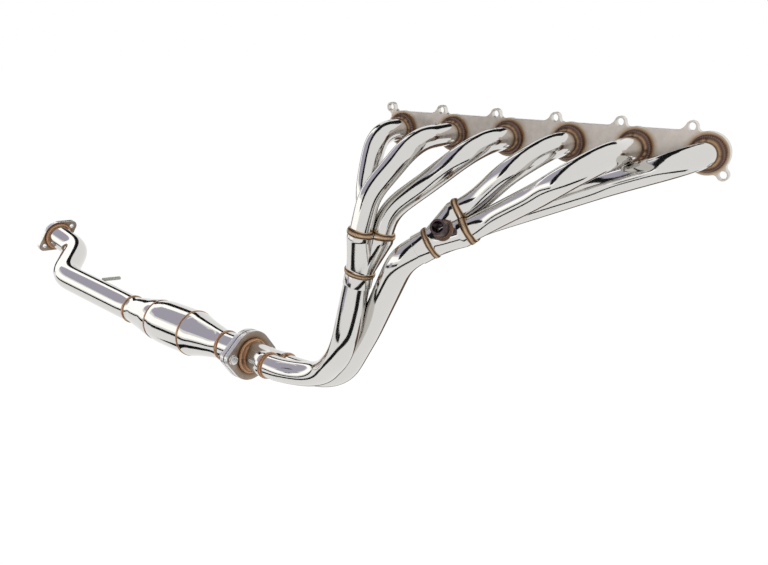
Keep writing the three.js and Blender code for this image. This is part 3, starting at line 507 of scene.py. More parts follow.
# Colours
STEEL = (0.66, 0.645, 0.62)
STRAW = (0.62, 0.47, 0.27)
GOLD = (0.44, 0.29, 0.17)
PALE_GOLD = (0.6, 0.46, 0.32)
COPPER = (0.4, 0.19, 0.1)
TAN = (0.46, 0.3, 0.17)
BROWN = (0.13, 0.07, 0.045)
UMBER = (0.05, 0.028, 0.022)
PORT_BROWN = (0.2, 0.12, 0.08)
PORT_DARK = (0.1, 0.06, 0.05)
# Heat colours of the steel. Their dark end also paints the shade between tubes near a collector.
HEAT_AND_SHADE_STOPS = [(0.0, STEEL), (0.25, STEEL), (0.42, STRAW), (0.6, TAN), (0.78, BROWN), (1.0, UMBER)]
HALO_STOPS = [
    (0.0, (0.3, 0.2, 0.14)), (0.28, (0.5, 0.36, 0.25)), (0.6, (0.86, 0.77, 0.65)), (1.0, (1, 1, 1)),
]
HEADER_STOPS = [
    (0.0, STRAW), (0.08, TAN), (0.18, UMBER), (0.28, BROWN), (0.4, GOLD),
    (0.52, PALE_GOLD), (0.64, GOLD), (0.76, BROWN), (0.84, UMBER), (1.0, STRAW),
]
PORT_STOPS = [
    (0.0, TAN), (0.14, PORT_BROWN), (0.3, PORT_DARK), (0.5, (0.2, 0.13, 0.11)), (0.7, PORT_DARK),
    (0.86, PORT_BROWN), (0.95, (0.45, 0.3, 0.15)), (1.0, (0.62, 0.45, 0.25)),
]
COPPER_STOPS = [
    (0.0, STRAW), (0.1, BROWN), (0.2, COPPER), (0.4, (0.66, 0.4, 0.24)), (0.5, BROWN),
    (0.6, (0.6, 0.34, 0.19)), (0.8, COPPER), (0.92, BROWN), (1.0, STRAW),
]


# Materials
def node(tree, kind, **settings):
    """A shader node. Each setting is a property, or an input's value or the socket it takes."""
    made = tree.nodes.new("ShaderNode" + kind)
    for key, value in settings.items():
        label = key.replace("_", " ")
        if label not in made.inputs:
            setattr(made, key, value)
        elif isinstance(value, bpy.types.NodeSocket):
            tree.links.new(value, made.inputs[label])
        else:
            made.inputs[label].default_value = value
    return made


def maths(tree, operation, *terms):
    """The result of a Math node on numbers and sockets."""
    made = node(tree, "Math", operation=operation)
    for socket, term in zip(made.inputs, terms):
        if isinstance(term, bpy.types.NodeSocket):
            tree.links.new(term, socket)
        else:
            socket.default_value = term
    return made.outputs["Value"]


def attribute(tree, name, output="Fac"):
    return node(tree, "Attribute", attribute_name=name).outputs[output]


def own_place(tree):
    return node(tree, "TexCoord").outputs["Object"]


def noise(tree, place, **settings):
    return node(tree, "TexNoise", Vector=place, **settings).outputs["Fac"]


def ramp(tree, share, stops):
    """The colour at a share of the way through the stops."""
    made = node(tree, "ValToRGB", Fac=share)
    marks = made.color_ramp.elements
    while len(marks) < len(stops):
        marks.new(0.5)
    for mark, (place, colour) in zip(marks, stops):
        mark.position = place
        mark.color = (*colour, 1)
    return made.outputs["Color"]


def spread_value(tree, source, low, high, start=0, end=1):
    """Takes a source that runs from start to end to one that runs from low to high."""
    limits = {"From_Min": start, "From_Max": end, "To_Min": low, "To_Max": high}
    return node(tree, "MapRange", Value=source, **limits).outputs["Result"]


def blend(tree, kind, first, second, share=1):
    made = node(tree, "Mix", data_type="RGBA", blend_type=kind, Factor=share, A=first, B=second)
    return made.outputs["Result"]


def surface(name):
    made = bpy.data.materials.new(name)
    made.use_nodes = True
    return made, made.node_tree


def finished(made, colour, roughness, height, bump, depth, metallic=1):
    """Feeds a material's shader with its colour, its roughness and a bump from a height."""
    tree = made.node_tree
    inputs = tree.nodes["Principled BSDF"].inputs
    lift = node(tree, "Bump", Strength=bump, Distance=depth, Height=height)
    inputs["Metallic"].default_value = metallic
    tree.links.new(colour, inputs["Base Color"])
    tree.links.new(roughness, inputs["Roughness"])
    tree.links.new(lift.outputs["Normal"], inputs["Normal"])
    return made


def polished(name, smoothest, roughest):
    """Bright steel with faint polishing streaks and heat colours near its welds, which on the tubes
    also paint shade between them.
    """
    made, tree = surface(name)
    streaks = node(tree, "Mapping", Vector=attribute(tree, "roll", "Vector"), Scale=(0.35, 0.35, 0.02))
    fine = noise(tree, streaks.outputs["Vector"], Scale=6, Detail=6, Roughness=0.65)
    cloud = noise(tree, own_place(tree), Scale=9, Detail=3)
    heat = attribute(tree, "heat")
    wobble = maths(tree, "MULTIPLY_ADD", cloud, 0.25, -0.125)
    # Heat tint, and on the tubes painted shade between them
    tint_and_shade = maths(tree, "ADD", heat, maths(tree, "MULTIPLY", wobble, heat))
    roughness = spread_value(tree, cloud, smoothest, roughest)
    return finished(made, ramp(tree, tint_and_shade, HEAT_AND_SHADE_STOPS), roughness, fine, 0.02, 0.001)


def beaded(name, stops, smoothest, roughest):
    """Weld metal whose colour runs across the bead, with painted shade in the troughs between ripples.
    """
    made, tree = surface(name)
    place = own_place(tree)
    speck = noise(tree, place, Scale=260, Detail=4)
    cloud = noise(tree, place, Scale=60, Detail=2)
    wavy = maths(tree, "MULTIPLY_ADD", cloud, 0.35, attribute(tree, "bead"))
    colour = ramp(tree, spread_value(tree, wavy, 0, 1, -0.82, 1.17), stops)
    # Painted shade: darker in the ripples' troughs, slightly lighter on their crests
    shade = spread_value(tree, attribute(tree, "crest"), 0.8, 1.05, -1)
    roughness = spread_value(tree, speck, smoothest, roughest)
    return finished(made, blend(tree, "MULTIPLY", colour, shade), roughness, speck, 0.15, 0.0004)


def plain(name, colour, dark, smoothest, roughest, scale, bump=0.2, metallic=1):
    """A surface of two near colours in a noise, with its own roughness and grain."""
    made, tree = surface(name)
    grain = noise(tree, own_place(tree), Scale=scale, Detail=6, Roughness=0.6)
    paint = ramp(tree, grain, [(0.3, dark), (0.7, colour)])
    roughness = spread_value(tree, grain, smoothest, roughest)
    return finished(made, paint, roughness, grain, bump, 0.0005, metallic)


def haloed(made, first, last, edge, pitch=0):
    """Tints a flange round its pipes, from one distance to another, and brightens its edges."""
    tree = made.node_tree
    target = tree.nodes["Principled BSDF"].inputs["Base Color"]
    base = target.links[0].from_socket
    place = attribute(tree, "flat", "Vector")
    if pitch:
        parts = node(tree, "SeparateXYZ", Vector=place)
        shifted = maths(tree, "SUBTRACT", parts.outputs["X"], pitch / 2)
        wrapped = maths(tree, "WRAP", shifted, pitch / 2, -pitch / 2)
        place = node(tree, "CombineXYZ", X=wrapped, Y=parts.outputs["Y"]).outputs["Vector"]
    reach = node(tree, "VectorMath", operation="LENGTH", Vector=place).outputs["Value"]
    tint = ramp(tree, spread_value(tree, reach, 0, 1, first, last), HALO_STOPS)
    toned = blend(tree, "MULTIPLY", base, tint)
    tree.links.new(blend(tree, "MIX", toned, (*edge, 1), attribute(tree, "rim")), target)


tube_steel = polished("tube_steel", 0.05, 0.11)
shell_steel = polished("shell_steel", 0.05, 0.1)
header_weld = beaded("header_weld", HEADER_STOPS, 0.2, 0.34)
port_weld = beaded("port_weld", PORT_STOPS, 0.28, 0.42)
copper_weld = beaded("copper_weld", COPPER_STOPS, 0.22, 0.36)
flange_satin = plain("flange_satin", (0.7, 0.64, 0.59), (0.58, 0.53, 0.48), 0.32, 0.46, 90)
haloed(flange_satin, 24, 35, (0.72, 0.69, 0.65), PORT_PITCH)
joint_satin = plain("joint_satin", (0.42, 0.36, 0.31), (0.3, 0.25, 0.21), 0.28, 0.42, 70)
haloed(joint_satin, 34, 50, (0.74, 0.73, 0.71))
hanger_matte = plain("hanger_matte", (0.55, 0.55, 0.5), (0.42, 0.42, 0.37), 0.45, 0.6, 200)
bung_dark = plain("bung_dark", (0.12, 0.08, 0.085), (0.05, 0.035, 0.04), 0.3, 0.45, 120)
zinc = plain("zinc", (0.8, 0.8, 0.79), (0.68, 0.68, 0.67), 0.18, 0.3, 160, 0.05)
gasket_fibre = plain("gasket_fibre", (0.06, 0.058, 0.055), (0.03, 0.03, 0.028), 0.8, 0.95, 400, 0.4, 0)
mat_fibre = plain("mat_fibre", (0.62, 0.6, 0.54), (0.5, 0.48, 0.43), 0.85, 0.95, 300, 0.5, 0)
ceramic = plain("ceramic", (0.6, 0.52, 0.4), (0.5, 0.43, 0.33), 0.7, 0.85, 200, 0.3, 0)


# Axes and places that several pieces share
AXES = {place: unit(vec(OUTLET[place]) - INLET[place]) for place in INLET}
MERGE_AXIS = unit(vec(JOINT) - MERGE)
LINE = unit(vec(CONVERTER_END) - JOINT)
LINE_LENGTH = np.linalg.norm(vec(CONVERTER_END) - JOINT)
RING = (2 * TUBE_RADIUS + 0.6) / math.sqrt(3)
PORT_PLACES = [(number - (PORTS + 1) / 2) * PORT_PITCH for number in range(1, PORTS + 1)]


# Head flange
LOWER_EDGE = ("line", 0, -1, FLANGE_WAIST)
UPPER_EDGE = ("line", 0, 1, FLANGE_TOP)
ARC_STEP = 6
LONGEST_ARC = 1.75 * math.pi


def line_fillet(line, disc, radius, ahead):
    """Tangent point on the line, the fillet's centre, tangent point on the disc.

    Ahead is 1 where the disc comes first along the edge, and -1 where the line does.
    """
    normal, centre = vec(line[1:3]), vec(disc[1:3])
    way = vec((-normal[1], normal[0])) * ahead
    rise = line[3] + radius - centre @ normal
    shift = math.sqrt(max(0, (disc[3] + radius) ** 2 - rise**2))
    heart = centre + normal * rise + way * shift
    return heart - normal * radius, heart, centre + unit(heart - centre) * disc[3]


def disc_fillet(a, b, radius):
    """Tangent point on disc a, the fillet's centre, tangent point on disc b."""
    first, second = vec(a[1:3]), vec(b[1:3])
    gap = np.linalg.norm(second - first)
    way = (second - first) / gap
    t = ((a[3] + radius) ** 2 - (b[3] + radius) ** 2 + gap**2) / (2 * gap)
    rise = math.sqrt(max(0, (a[3] + radius) ** 2 - t**2))
    heart = first + way * t + vec((way[1], -way[0])) * rise
    return first + unit(heart - first) * a[3], heart, second + unit(heart - second) * b[3]


def fillet(a, b):
    """Tangent point on a, the fillet's centre, tangent point on b."""
    if a[0] == "line":
        return line_fillet(a, b, EDGE_FILLET, -1)
    if b[0] == "line":
        radius = EAR_SWEEP if b is UPPER_EDGE else EDGE_FILLET
        return line_fillet(b, a, radius, 1)[::-1]
    return disc_fillet(a, b, EDGE_FILLET)


def arc(centre, start, end, turning):
    """Points round a centre from start to end. One that would go nearly all round is a point."""
    begin = math.atan2(*(start - centre)[::-1])
    finish = math.atan2(*(end - centre)[::-1])
    sweep = (finish - begin) % TURN if turning > 0 else -((begin - finish) % TURN)
    if abs(sweep) > LONGEST_ARC:
        sweep = 0
    radius = np.linalg.norm(start - centre)
    count = max(1, math.ceil(math.degrees(abs(sweep)) / ARC_STEP))
    turn = begin + sweep * np.arange(count + 1) / count
    return [tuple(centre + radius * vec((math.cos(t), math.sin(t)))) for t in turn]


def head_chain():
    """The edge's lines, bosses and ears, in order."""
    chain = []
    for places, (shift, rise), edge in (
        (PORT_PLACES, LOWER_STUD, LOWER_EDGE),
        (PORT_PLACES[::-1], UPPER_STUD, UPPER_EDGE),
    ):
        for x in places:
            chain += [("disc", x, 0, BOSS_RADIUS), ("disc", x + shift, rise, EAR_RADIUS), edge]
        chain.pop()
    return chain


def head_outline():
    """The flange's edge, with fillets between its lines, bosses and ears."""
    chain = head_chain()
    joins = [fillet(a, b) for a, b in zip(chain, chain[1:] + chain[:1])]
    outline = []
    for i, shape in enumerate(chain):
        if shape[0] == "disc":
            outline += arc(vec(shape[1:3]), joins[i - 1][2], joins[i][0], 1)
        outline += arc(joins[i][1], joins[i][0], joins[i][2], -1)
    kept = [outline[0]]
    for point in outline[1:]:
        if math.dist(point, kept[-1]) > 0.05:
            kept.append(point)
    return kept


flange_holes = []
for x in PORT_PLACES:
    flange_holes.append(circle(x, 0, TUBE_RADIUS + GAP, 64))
    for shift, rise in (UPPER_STUD, LOWER_STUD):
        flange_holes.append(circle(x + shift, rise, STUD_HOLE, 32))
flange_mesh = plate(
    "flange_plate", head_outline(), flange_holes, FLANGE_THICKNESS, 0.6,
    ((1, 0, 0), (0, 0, 1), (0, -1, 0)), (0, 0, 0),
)
show(flange_mesh, ["head_flange"], flange_satin)

# Places of tints from either end of a pipe, and their spread
TUBE_TINTS = ((16, 12), (-16, 5))
SECOND_TINTS = ((-14, 5),)
TAIL_TINTS = ((2, 6), (-12, 8))

# Primary tubes and their port welds
for number, (out, corner, run_in, port_bend, bend) in TUBES.items():
    place = "rear" if number < 4 else "front"
    inlet, axis = vec(INLET[place]), AXES[place]
    turn = math.radians(BUNDLE_TURN[place] - 120 * ((number - 1) % 3))
    end = around(inlet, axis, RING, turn)
    x = PORT_PLACES[number - 1]
    corners = [
        (x, -TUBE_SETBACK, 0),
        (x, -FLANGE_THICKNESS - out, 0),
        corner,
        end - run_in * axis,
        end + TUBE_INSERT * axis,
    ]
    bends = (port_bend, bend, bend)
    # The way to the bundle's middle, where the tube gets painted shade
    inward = unit(inlet - end)
    tube = pipe(f"tube_{number}", corners, bends, TUBE_RADIUS, 64, TUBE_TINTS, inward)
    show_steel(tube, f"primary_tube_{number}", tube_steel)
    seat = (x, -FLANGE_THICKNESS, 0)
    bead = corner_weld(f"port_bead_{number}", seat, (0, -1, 0), *PORT_BEAD, TUBE_RADIUS, 0.07)
    show_weld(bead, f"port_weld_{number}", port_weld)


# Collectors
def lobed(angle, count, ring, tube, dip):
    """Radius of the outline round a bundle of equal tubes, between their own and their hull."""
    sector = TURN / count
    off = np.abs((angle % sector + sector / 2) % sector - sector / 2)
    side = ring * np.sin(off)
    own = ring * np.cos(off) + np.sqrt(np.maximum(tube * tube - side * side, 0))
    touch = math.atan2(tube * math.sin(sector / 2), ring + tube * math.cos(sector / 2))
    flat = (ring * math.cos(sector / 2) + tube) / np.cos(sector / 2 - off)
    return dip * own + (1 - dip) * np.where(off < touch, own, flat)


def merge_shape(count, ring, tube, grow, lips, length, outlet, turn):
    """Outer radius of a merge collector as a function of distance and angle."""

    def radius(distance, angle):
        share = np.clip((distance - lips[0]) / (length - lips[0] - lips[1]), 0, 1)
        mouth = lobed(angle - turn, count, ring, tube + SLIP + grow, LOBE_DIP * (1 - share))
        return mouth + (outlet - WALL + grow - mouth) * share

    return radius


def merge_mesh(name, origin, axis, length, shapes, welds):
    """The shell between an outer and an inner shape."""
    turn = angles(MERGE_SIDES)
    steps = np.linspace(0, length, 40)
    outer, inner = shapes
    profile = [(outer(s, turn), s) for s in steps] + [(inner(s, turn), s) for s in steps[::-1]]
    return turned_piece(name, profile, origin, axis, MERGE_SIDES, welds=welds)


def mouth_weld(name, origin, axis, turn, count, ring, tube):
    """A bead that fills from the collector's edge down to the tubes."""
    whole = angles(MOUTH_SIDES)
    edge = lobed(whole - turn, count, ring, tube + SLIP + WALL, LOBE_DIP)
    own = lobed(whole - turn, count, ring, tube, 0.95)
    profile = vec(dome_profile(*MOUTH_BEAD, 11))
    share = smooth(profile[:, 0] / MOUTH_BEAD[0] + 0.62)
    reach = own[:, None] + (edge - own)[:, None] * share
    bases = around(origin, axis, reach, np.repeat(whole[:, None], len(profile), 1))
    outs = around((0, 0, 0), axis, 1, whole)
    return weld(name, bases, outs, axis, profile, 0.16)


for place, origin in INLET.items():
    axis, outlet = AXES[place], vec(OUTLET[place])
    length = np.linalg.norm(outlet - origin)
    turn = math.radians(BUNDLE_TURN[place])
    shapes = [
        merge_shape(3, RING, TUBE_RADIUS, grow, COLLECTOR_LIPS, length, COLLECTOR_RADIUS, turn)
        for grow in (WALL, 0)
    ]
    if place == "front":
        front_shape, front_length = shapes[0], length
    body = merge_mesh(f"{place}_merge", origin, axis, length, shapes, (-2, length + 2))
    show_steel(body, f"{place}_collector", tube_steel, 50)
    bead = mouth_weld(f"{place}_mouth_bead", origin, axis, turn, 3, RING, TUBE_RADIUS)
    show_weld(bead, f"{place}_collector_inlet_weld", header_weld)
    dome = dome_profile(*COLLECTOR_BEAD)
    bead = ring_weld(f"{place}_outlet_bead", outlet, axis, COLLECTOR_RADIUS, dome)
    show_weld(bead, f"{place}_collector_outlet_weld", header_weld)
    profile = ring_profile(SECOND_RADIUS + GAP, COLLECTOR_RADIUS, 0, SLEEVE_LENGTH, 0.5)
    sleeve = turned_piece(f"{place}_sleeve", profile, outlet + axis * GAP, axis, welds=(-1,))
    show_steel(sleeve, f"{place}_slip_sleeve", tube_steel)

# Secondary pipes and the merge collector
merge_turn = math.radians(MERGE_TILT)
merge_ring = SECOND_RADIUS + SLIP
for place, (run, knee, heel, side) in SECONDS.items():
    outlet, axis = vec(OUTLET[place]), AXES[place]
    end = around(MERGE, MERGE_AXIS, merge_ring, merge_turn + math.radians(side))
    corners = [
        outlet + SECOND_SETBACK * axis,
        outlet + run * axis,
        knee,
        heel,
        end - SECOND_RUN_IN * MERGE_AXIS,
        end + SECOND_INSERT * MERGE_AXIS,
    ]
    body = pipe(f"{place}_second", corners, SECOND_BENDS, SECOND_RADIUS, 72, SECOND_TINTS)
    show_steel(body, f"{place}_secondary_pipe", tube_steel)
merge_length = np.linalg.norm(vec(JOINT) - MERGE) - GAP
shapes = [
    merge_shape(
        2, merge_ring, SECOND_RADIUS, grow, MERGE_LIPS, merge_length, PIPE_RADIUS, merge_turn
    )
    for grow in (WALL, 0)
]
body = merge_mesh("merge", MERGE, MERGE_AXIS, merge_length, shapes, (-2, merge_length - 6))
show_steel(body, "merge_collector", tube_steel, 50)
bead = mouth_weld("merge_mouth_bead", MERGE, MERGE_AXIS, merge_turn, 2, merge_ring, SECOND_RADIUS)
show_weld(bead, "merge_collector_inlet_weld", copper_weld)

# Sensor bung
bung_root = vec(INLET["front"]) + AXES["front"] * front_length / 2
bung_axis = vec((0, -1, 0.25))
bung_axis = unit(bung_axis - AXES["front"] * (bung_axis @ AXES["front"]))
profile = ring_profile(BUNG_BORE, BUNG_RADIUS, *BUNG_HEIGHTS, 0.8)
bung = turned_piece("bung", profile, bung_root, bung_axis, 72, welds=(40,))
show(bung, ["oxygen_sensor_bung"], bung_dark)


def surface_height(radius, turn):
    """How far out along the bung's axis the collector's wall is, round a circle."""
    spoke = around((0, 0, 0), bung_axis, radius, turn)
    near, far = np.full(len(turn), 5.0), np.full(len(turn), 60.0)
    axis = AXES["front"]
    level, rising = across(axis)
    for _ in range(40):
        middle = (near + far) / 2
        place = bung_root + spoke + middle[:, None] * bung_axis - vec(INLET["front"])
        distance = place @ axis
        flat = place - distance[:, None] * axis
        angle = np.arctan2(flat @ rising, flat @ level)
        inside = np.linalg.norm(flat, axis=1) < front_shape(distance, angle)
        near, far = np.where(inside, middle, near), np.where(inside, far, middle)
    return near


BUNG_WELD = 5
turn = angles(240)
foot = surface_height(BUNG_RADIUS, turn)
toe = surface_height(BUNG_RADIUS + BUNG_WELD, turn)
spokes = around((0, 0, 0), bung_axis, 1, turn)
steps = np.linspace(0, 1, 9)
heights = foot[:, None] + 4 * (1 - steps) ** 1.2 + (toe - foot)[:, None] * steps**2
reach = BUNG_RADIUS + BUNG_WELD * steps
bases = bung_root + spokes[:, None] * reach[None, :, None] + heights[..., None] * bung_axis
profile = np.stack([np.zeros(9), 0.9 * np.sin(steps * math.pi) ** 0.7], -1)
bead = weld("bung_bead", bases, unit(spokes + bung_axis), spokes, profile, 0.4)
show_weld(bead, "sensor_bung_weld", port_weld)


# Bolted joint and tail flange
def two_bolt(height, spacing, ear):
    """Outline and holes of a round plate with two ears joined by tangents."""
    middle, reach = height / 2, spacing / 2
    lean = math.acos((middle - ear) / reach)
    outline = []
    for x, radius, start, end in (
        (reach, ear, -lean, lean),
        (0, middle, lean, math.pi - lean),
        (-reach, ear, math.pi - lean, math.pi + lean),
        (0, middle, math.pi + lean, TURN - lean),
    ):
        for a in np.linspace(start, end, 24):
            outline.append((x + radius * math.cos(a), radius * math.sin(a)))
    bolts = [circle(x, 0, HOLE_RADIUS) for x in (-reach, reach)]
    return outline, [circle(0, 0, PIPE_RADIUS + GAP, 96), *bolts]


def flat_piece(
    name, size, origin, axis, twist, node_name, finish=joint_satin, bevel=0.7
):
    """A flange or a gasket, turned about its axis by a twist in degrees."""
    first, second = (turned(way, axis, math.radians(twist)) for way in across(axis))
    outline, holes = two_bolt(*size[:3])
    mesh = plate(name, outline, holes, size[3], bevel, (first, second, axis), origin)
    show(mesh, [node_name], finish)


flange_depth = JOINT_FLANGE[3]
gasket_at = vec(JOINT) + LINE * (flange_depth + GAP)
second_at = gasket_at + LINE * (GASKET[3] + GAP)
joint_end = second_at + LINE * flange_depth
clamped = np.linalg.norm(joint_end - JOINT)
flat_piece("joint_plate_1", JOINT_FLANGE, JOINT, LINE, JOINT_TWIST, "header_outlet_flange")
flat_piece(
    "joint_gasket", GASKET, gasket_at, LINE, JOINT_TWIST, "flange_gasket",
    gasket_fibre, 0.2,
)
flat_piece("joint_plate_2", JOINT_FLANGE, second_at, LINE, JOINT_TWIST, "converter_inlet_flange")
bead = corner_weld("joint_bead_1", JOINT, -LINE, *FLANGE_BEAD)
show_weld(bead, "header_flange_weld", copper_weld)
bead = corner_weld("joint_bead_2", joint_end, LINE, *FLANGE_BEAD)
show_weld(bead, "converter_flange_weld", copper_weld)


def hex_rows(low, high, cut_low):
    """Rows of a hexagonal prism whose corners are cut by a cone at its low or its high end."""
    full = HEX_HALF / np.cos(angles(HEX_SIDES) % (TURN / 6) - TURN / 12)
    drop = (full - HEX_HALF) * 0.6
    if cut_low:
        return [(HEX_HALF, low), (full, low + drop), (full, high)]
    return [(full, low), (full, high - drop), (HEX_HALF, high)]


def placed_rows(rows, origin, twist=0.0):
    turn = angles(HEX_SIDES) + twist
    return [
        around(origin, LINE, radius, turn) + np.broadcast_to(rise, HEX_SIDES)[:, None] * LINE
        for radius, rise in rows
    ]


def bolt_rows(tip):
    """From the head's top through the washer face and the thread to the tip."""
    rows = [(CROWN_RADIUS, -HEAD_DEPTH)]
    rows += hex_rows(-HEAD_DEPTH, -WASHER_DEPTH, True)
    rows += [(WASHER_RADIUS - 0.8, -WASHER_DEPTH), (WASHER_RADIUS, 0.6 - WASHER_DEPTH)]
    rows += [(WASHER_RADIUS, 0), (SHANK_RADIUS, 0)]
    turn = angles(HEX_SIDES)
    for rise in np.arange(clamped + 1, tip - 1, THREAD_STEP):
        wave = np.cos(TURN * rise / THREAD_PITCH + turn)
        rows.append((THREAD_RADIUS + THREAD_DEPTH * wave, rise))
    return rows + [(TIP_RADIUS + 0.6, tip - 0.9), (TIP_RADIUS, tip)]


def nut_rows():
    rows = [(NUT_BORE, 0), (NUT_FACE, 0)]
    rows += hex_rows(0.2, NUT_DEPTH, False)
    return rows + [(5.9, NUT_DEPTH), (NUT_BORE, NUT_DEPTH - 0.6)]


ear_way = turned(across(LINE)[0], LINE, math.radians(JOINT_TWIST))
tip = clamped + 2 * GAP + NUT_DEPTH + BOLT_END
for number, side in ((1, -1), (2, 1)):
    ear_at = vec(JOINT) + ear_way * side * JOINT_FLANGE[1] / 2
    rows = placed_rows(bolt_rows(tip), ear_at - LINE * GAP)
    bolt = grid(f"bolt_{number}", rows, closed=False)
    show(bolt, [f"flange_bolt_{number}"], zinc, 40)
    rows = placed_rows(nut_rows(), ear_at + LINE * (clamped + GAP), NUT_TURN)
    nut = grid(f"nut_{number}", rows)
    show(nut, [f"flange_nut_{number}"], zinc, 40)

# Converter
pipe_at = clamped - flange_depth + INLET_PIPE_SETBACK
cone_at = clamped + INLET_PIPE_LENGTH
shell_at = cone_at + INLET_CONE_LENGTH
rear_at = shell_at + SHELL_LENGTH


def line_at(distance):
    return vec(JOINT) + LINE * distance


def eased_shares(shares):
    """A smooth curve through a table of shares that never overshoots it."""
    x, y = (vec([s[i] for s in shares]) for i in (0, 1))
    slopes = np.diff(y) / np.diff(x)
    before, after = slopes[:-1], slopes[1:]
    inner = np.where(before * after > 0, 2 * before * after / (before + after), 0)
    tangents = np.concatenate([slopes[:1], inner, slopes[-1:]])
    at = np.linspace(x[0], x[-1], 40)
    i = np.clip(np.searchsorted(x, at, "right") - 1, 0, len(x) - 2)
    h = x[i + 1] - x[i]
    t = (at - x[i]) / h
    rise = (
        (2 * t**3 - 3 * t**2 + 1) * y[i]
        + (t**3 - 2 * t**2 + t) * h * tangents[i]
        + (3 * t**2 - 2 * t**3) * y[i + 1]
        + (t**3 - t**2) * h * tangents[i + 1]
    )
    return at, rise


def revolve_on_line(name, profile, start, node_name, welds):
    mesh = turned_piece(name, profile, line_at(start), LINE, 112, welds=welds, spread=7)
    show_steel(mesh, node_name, shell_steel, 40)


def shell(name, shares, small, large, start, length, node_name, welds):
    """A wall on the line that goes between two radii by its shares."""
    at, rise = eased_shares(shares)
    outer = [(small + (large - small) * r, a * (length - GAP)) for a, r in zip(at, rise)]
    inner = [(radius - SHELL_WALL, distance) for radius, distance in outer[::-1]]
    revolve_on_line(name, outer + inner, start, node_name, welds)


inlet_length = cone_at - pipe_at
inlet_pipe = [(PIPE_RADIUS, s) for s in np.linspace(0, inlet_length - GAP, 16)]
inlet_pipe = [(PIPE_RADIUS - WALL, 0), *inlet_pipe, (PIPE_RADIUS - WALL, inlet_length - GAP)]
revolve_on_line(
    "inlet_pipe", inlet_pipe, pipe_at, "converter_inlet_pipe",
    (clamped - pipe_at + 4, inlet_length - 2),
)
shell(
    "inlet_cone", INLET_CONE_SHARES, PIPE_RADIUS, CONVERTER_RADIUS, cone_at, INLET_CONE_LENGTH,
    "converter_inlet_cone", (2, INLET_CONE_LENGTH),
)
shell(
    "barrel", SHELL_SHARES, CONVERTER_REAR_RADIUS, CONVERTER_RADIUS, shell_at, SHELL_LENGTH,
    "converter_shell", (0, SHELL_LENGTH),
)
outlet_length = LINE_LENGTH - rear_at
shell(
    "outlet_cone", OUTLET_CONE_SHARES, PIPE_RADIUS, CONVERTER_REAR_RADIUS, rear_at, outlet_length,
    "converter_outlet_cone", (0, outlet_length - 2),
)
for name, at, radius, width, height in (
    ("converter_inlet_weld", cone_at, PIPE_RADIUS, 11, 2.1),
    ("converter_inlet_seam", shell_at, CONVERTER_RADIUS, 6.5, 1.3),
    ("converter_outlet_seam", rear_at, CONVERTER_REAR_RADIUS, 6.5, 1.3),
    ("converter_outlet_weld", LINE_LENGTH, PIPE_RADIUS, 10, 2.1),
):
    bead = ring_weld(name + "_bead", line_at(at), LINE, radius, dome_profile(width, height))
    show_weld(bead, name, copper_weld)

# Tail pipe, its flange and the hanger
tail_start = line_at(LINE_LENGTH + GAP)
knee, heel, tail_end = (vec(place) for place in TAIL)
tail_way = unit(tail_end - heel)
corners = [
    tail_start, tail_start + TAIL_RUN_OUT * LINE, knee, heel, tail_end + TAIL_INSERT * tail_way,
]
body = pipe("tail", corners, TAIL_BENDS, PIPE_RADIUS, 96, TAIL_TINTS)
show_steel(body, "tail_pipe", shell_steel)
flat_piece("tail_plate", TAIL_FLANGE, tail_end, tail_way, TAIL_TWIST, "tail_flange")
bead = corner_weld("tail_bead", tail_end, -tail_way, *FLANGE_BEAD)
show_weld(bead, "tail_flange_weld", copper_weld)

tail_run = unit(knee - tail_start)
seat_turn, heading = math.radians(HANGER_SEAT_TURN), math.radians(HANGER_HEADING)
hanger_way = vec((math.cos(heading), math.sin(heading), 0))
seat_way = vec((0, math.cos(seat_turn), math.sin(seat_turn)))
seat = tail_start + tail_run * HANGER_FROM_CONVERTER + seat_way * (PIPE_RADIUS + HANGER_LIFT)
shoulder = HANGER_LENGTH - HANGER_TIP
profile = [(HANGER_RADIUS - 1, 0), (HANGER_RADIUS - 0.3, 0.3), (HANGER_RADIUS, 1)]
profile += [(HANGER_RADIUS, s) for s in np.linspace(3, shoulder, 12)]
profile += [
    (HANGER_RADIUS * math.cos(a), shoulder + HANGER_TIP * math.sin(a))
    for a in np.linspace(0.2, 1.45, 8)
]
rod = turned_piece("hanger", profile, seat, hanger_way, 40, closed=False, welds=(0,))
show_steel(rod, "hanger_rod", hanger_matte)

# Pieces of the CAD model that keep their shape, inside the converter
for name, finish in (("catalyst_support_mat", mat_fibre), ("catalyst_substrate", ceramic)):
    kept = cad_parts[name]
    kept.data.materials.clear()
    kept.data.materials.append(finish)


# Stage
CARD_ROWS = 30


def glowing(name, colour):
    made, tree = surface(name)
    tree.nodes.clear()
    glow = node(tree, "Emission", Color=(*colour, 1), Strength=1.0)
    node(tree, "OutputMaterial", Surface=glow.outputs["Emission"])
    return made


def ribbon(name, centre, reach, colour, path):
    """A card on a sphere round a point, along (azimuth, elevation, half width) in degrees.

    Metal reflects it. The camera doesn't see it and it casts no shadow.
    """
    at = np.linspace(0, len(path) - 1, CARD_ROWS)
    azimuth, elevation, width = (
        np.radians(np.interp(at, range(len(path)), column)) for column in zip(*path)
    )
    level = np.cos(elevation)
    ways = np.stack([np.sin(azimuth) * level, np.cos(azimuth) * level, np.sin(elevation)], -1)
    side = np.cross(ways, unit(np.gradient(ways, axis=0))) * np.tan(width)[:, None]
    places = vec(centre) + reach * np.stack([ways - side, ways + side], 1)
    faces = [(i, i + 1, i + 3, i + 2) for i in range(0, 2 * CARD_ROWS - 2, 2)]
    mesh = bpy.data.meshes.new(name)
    mesh.from_pydata((places.reshape(-1, 3) * MM).tolist(), [], faces)
    mesh.materials.append(glowing(name, colour))
    card = linked(name, mesh)
    card.visible_camera = False
    card.visible_diffuse = False
    card.visible_shadow = False
    card.visible_transmission = False


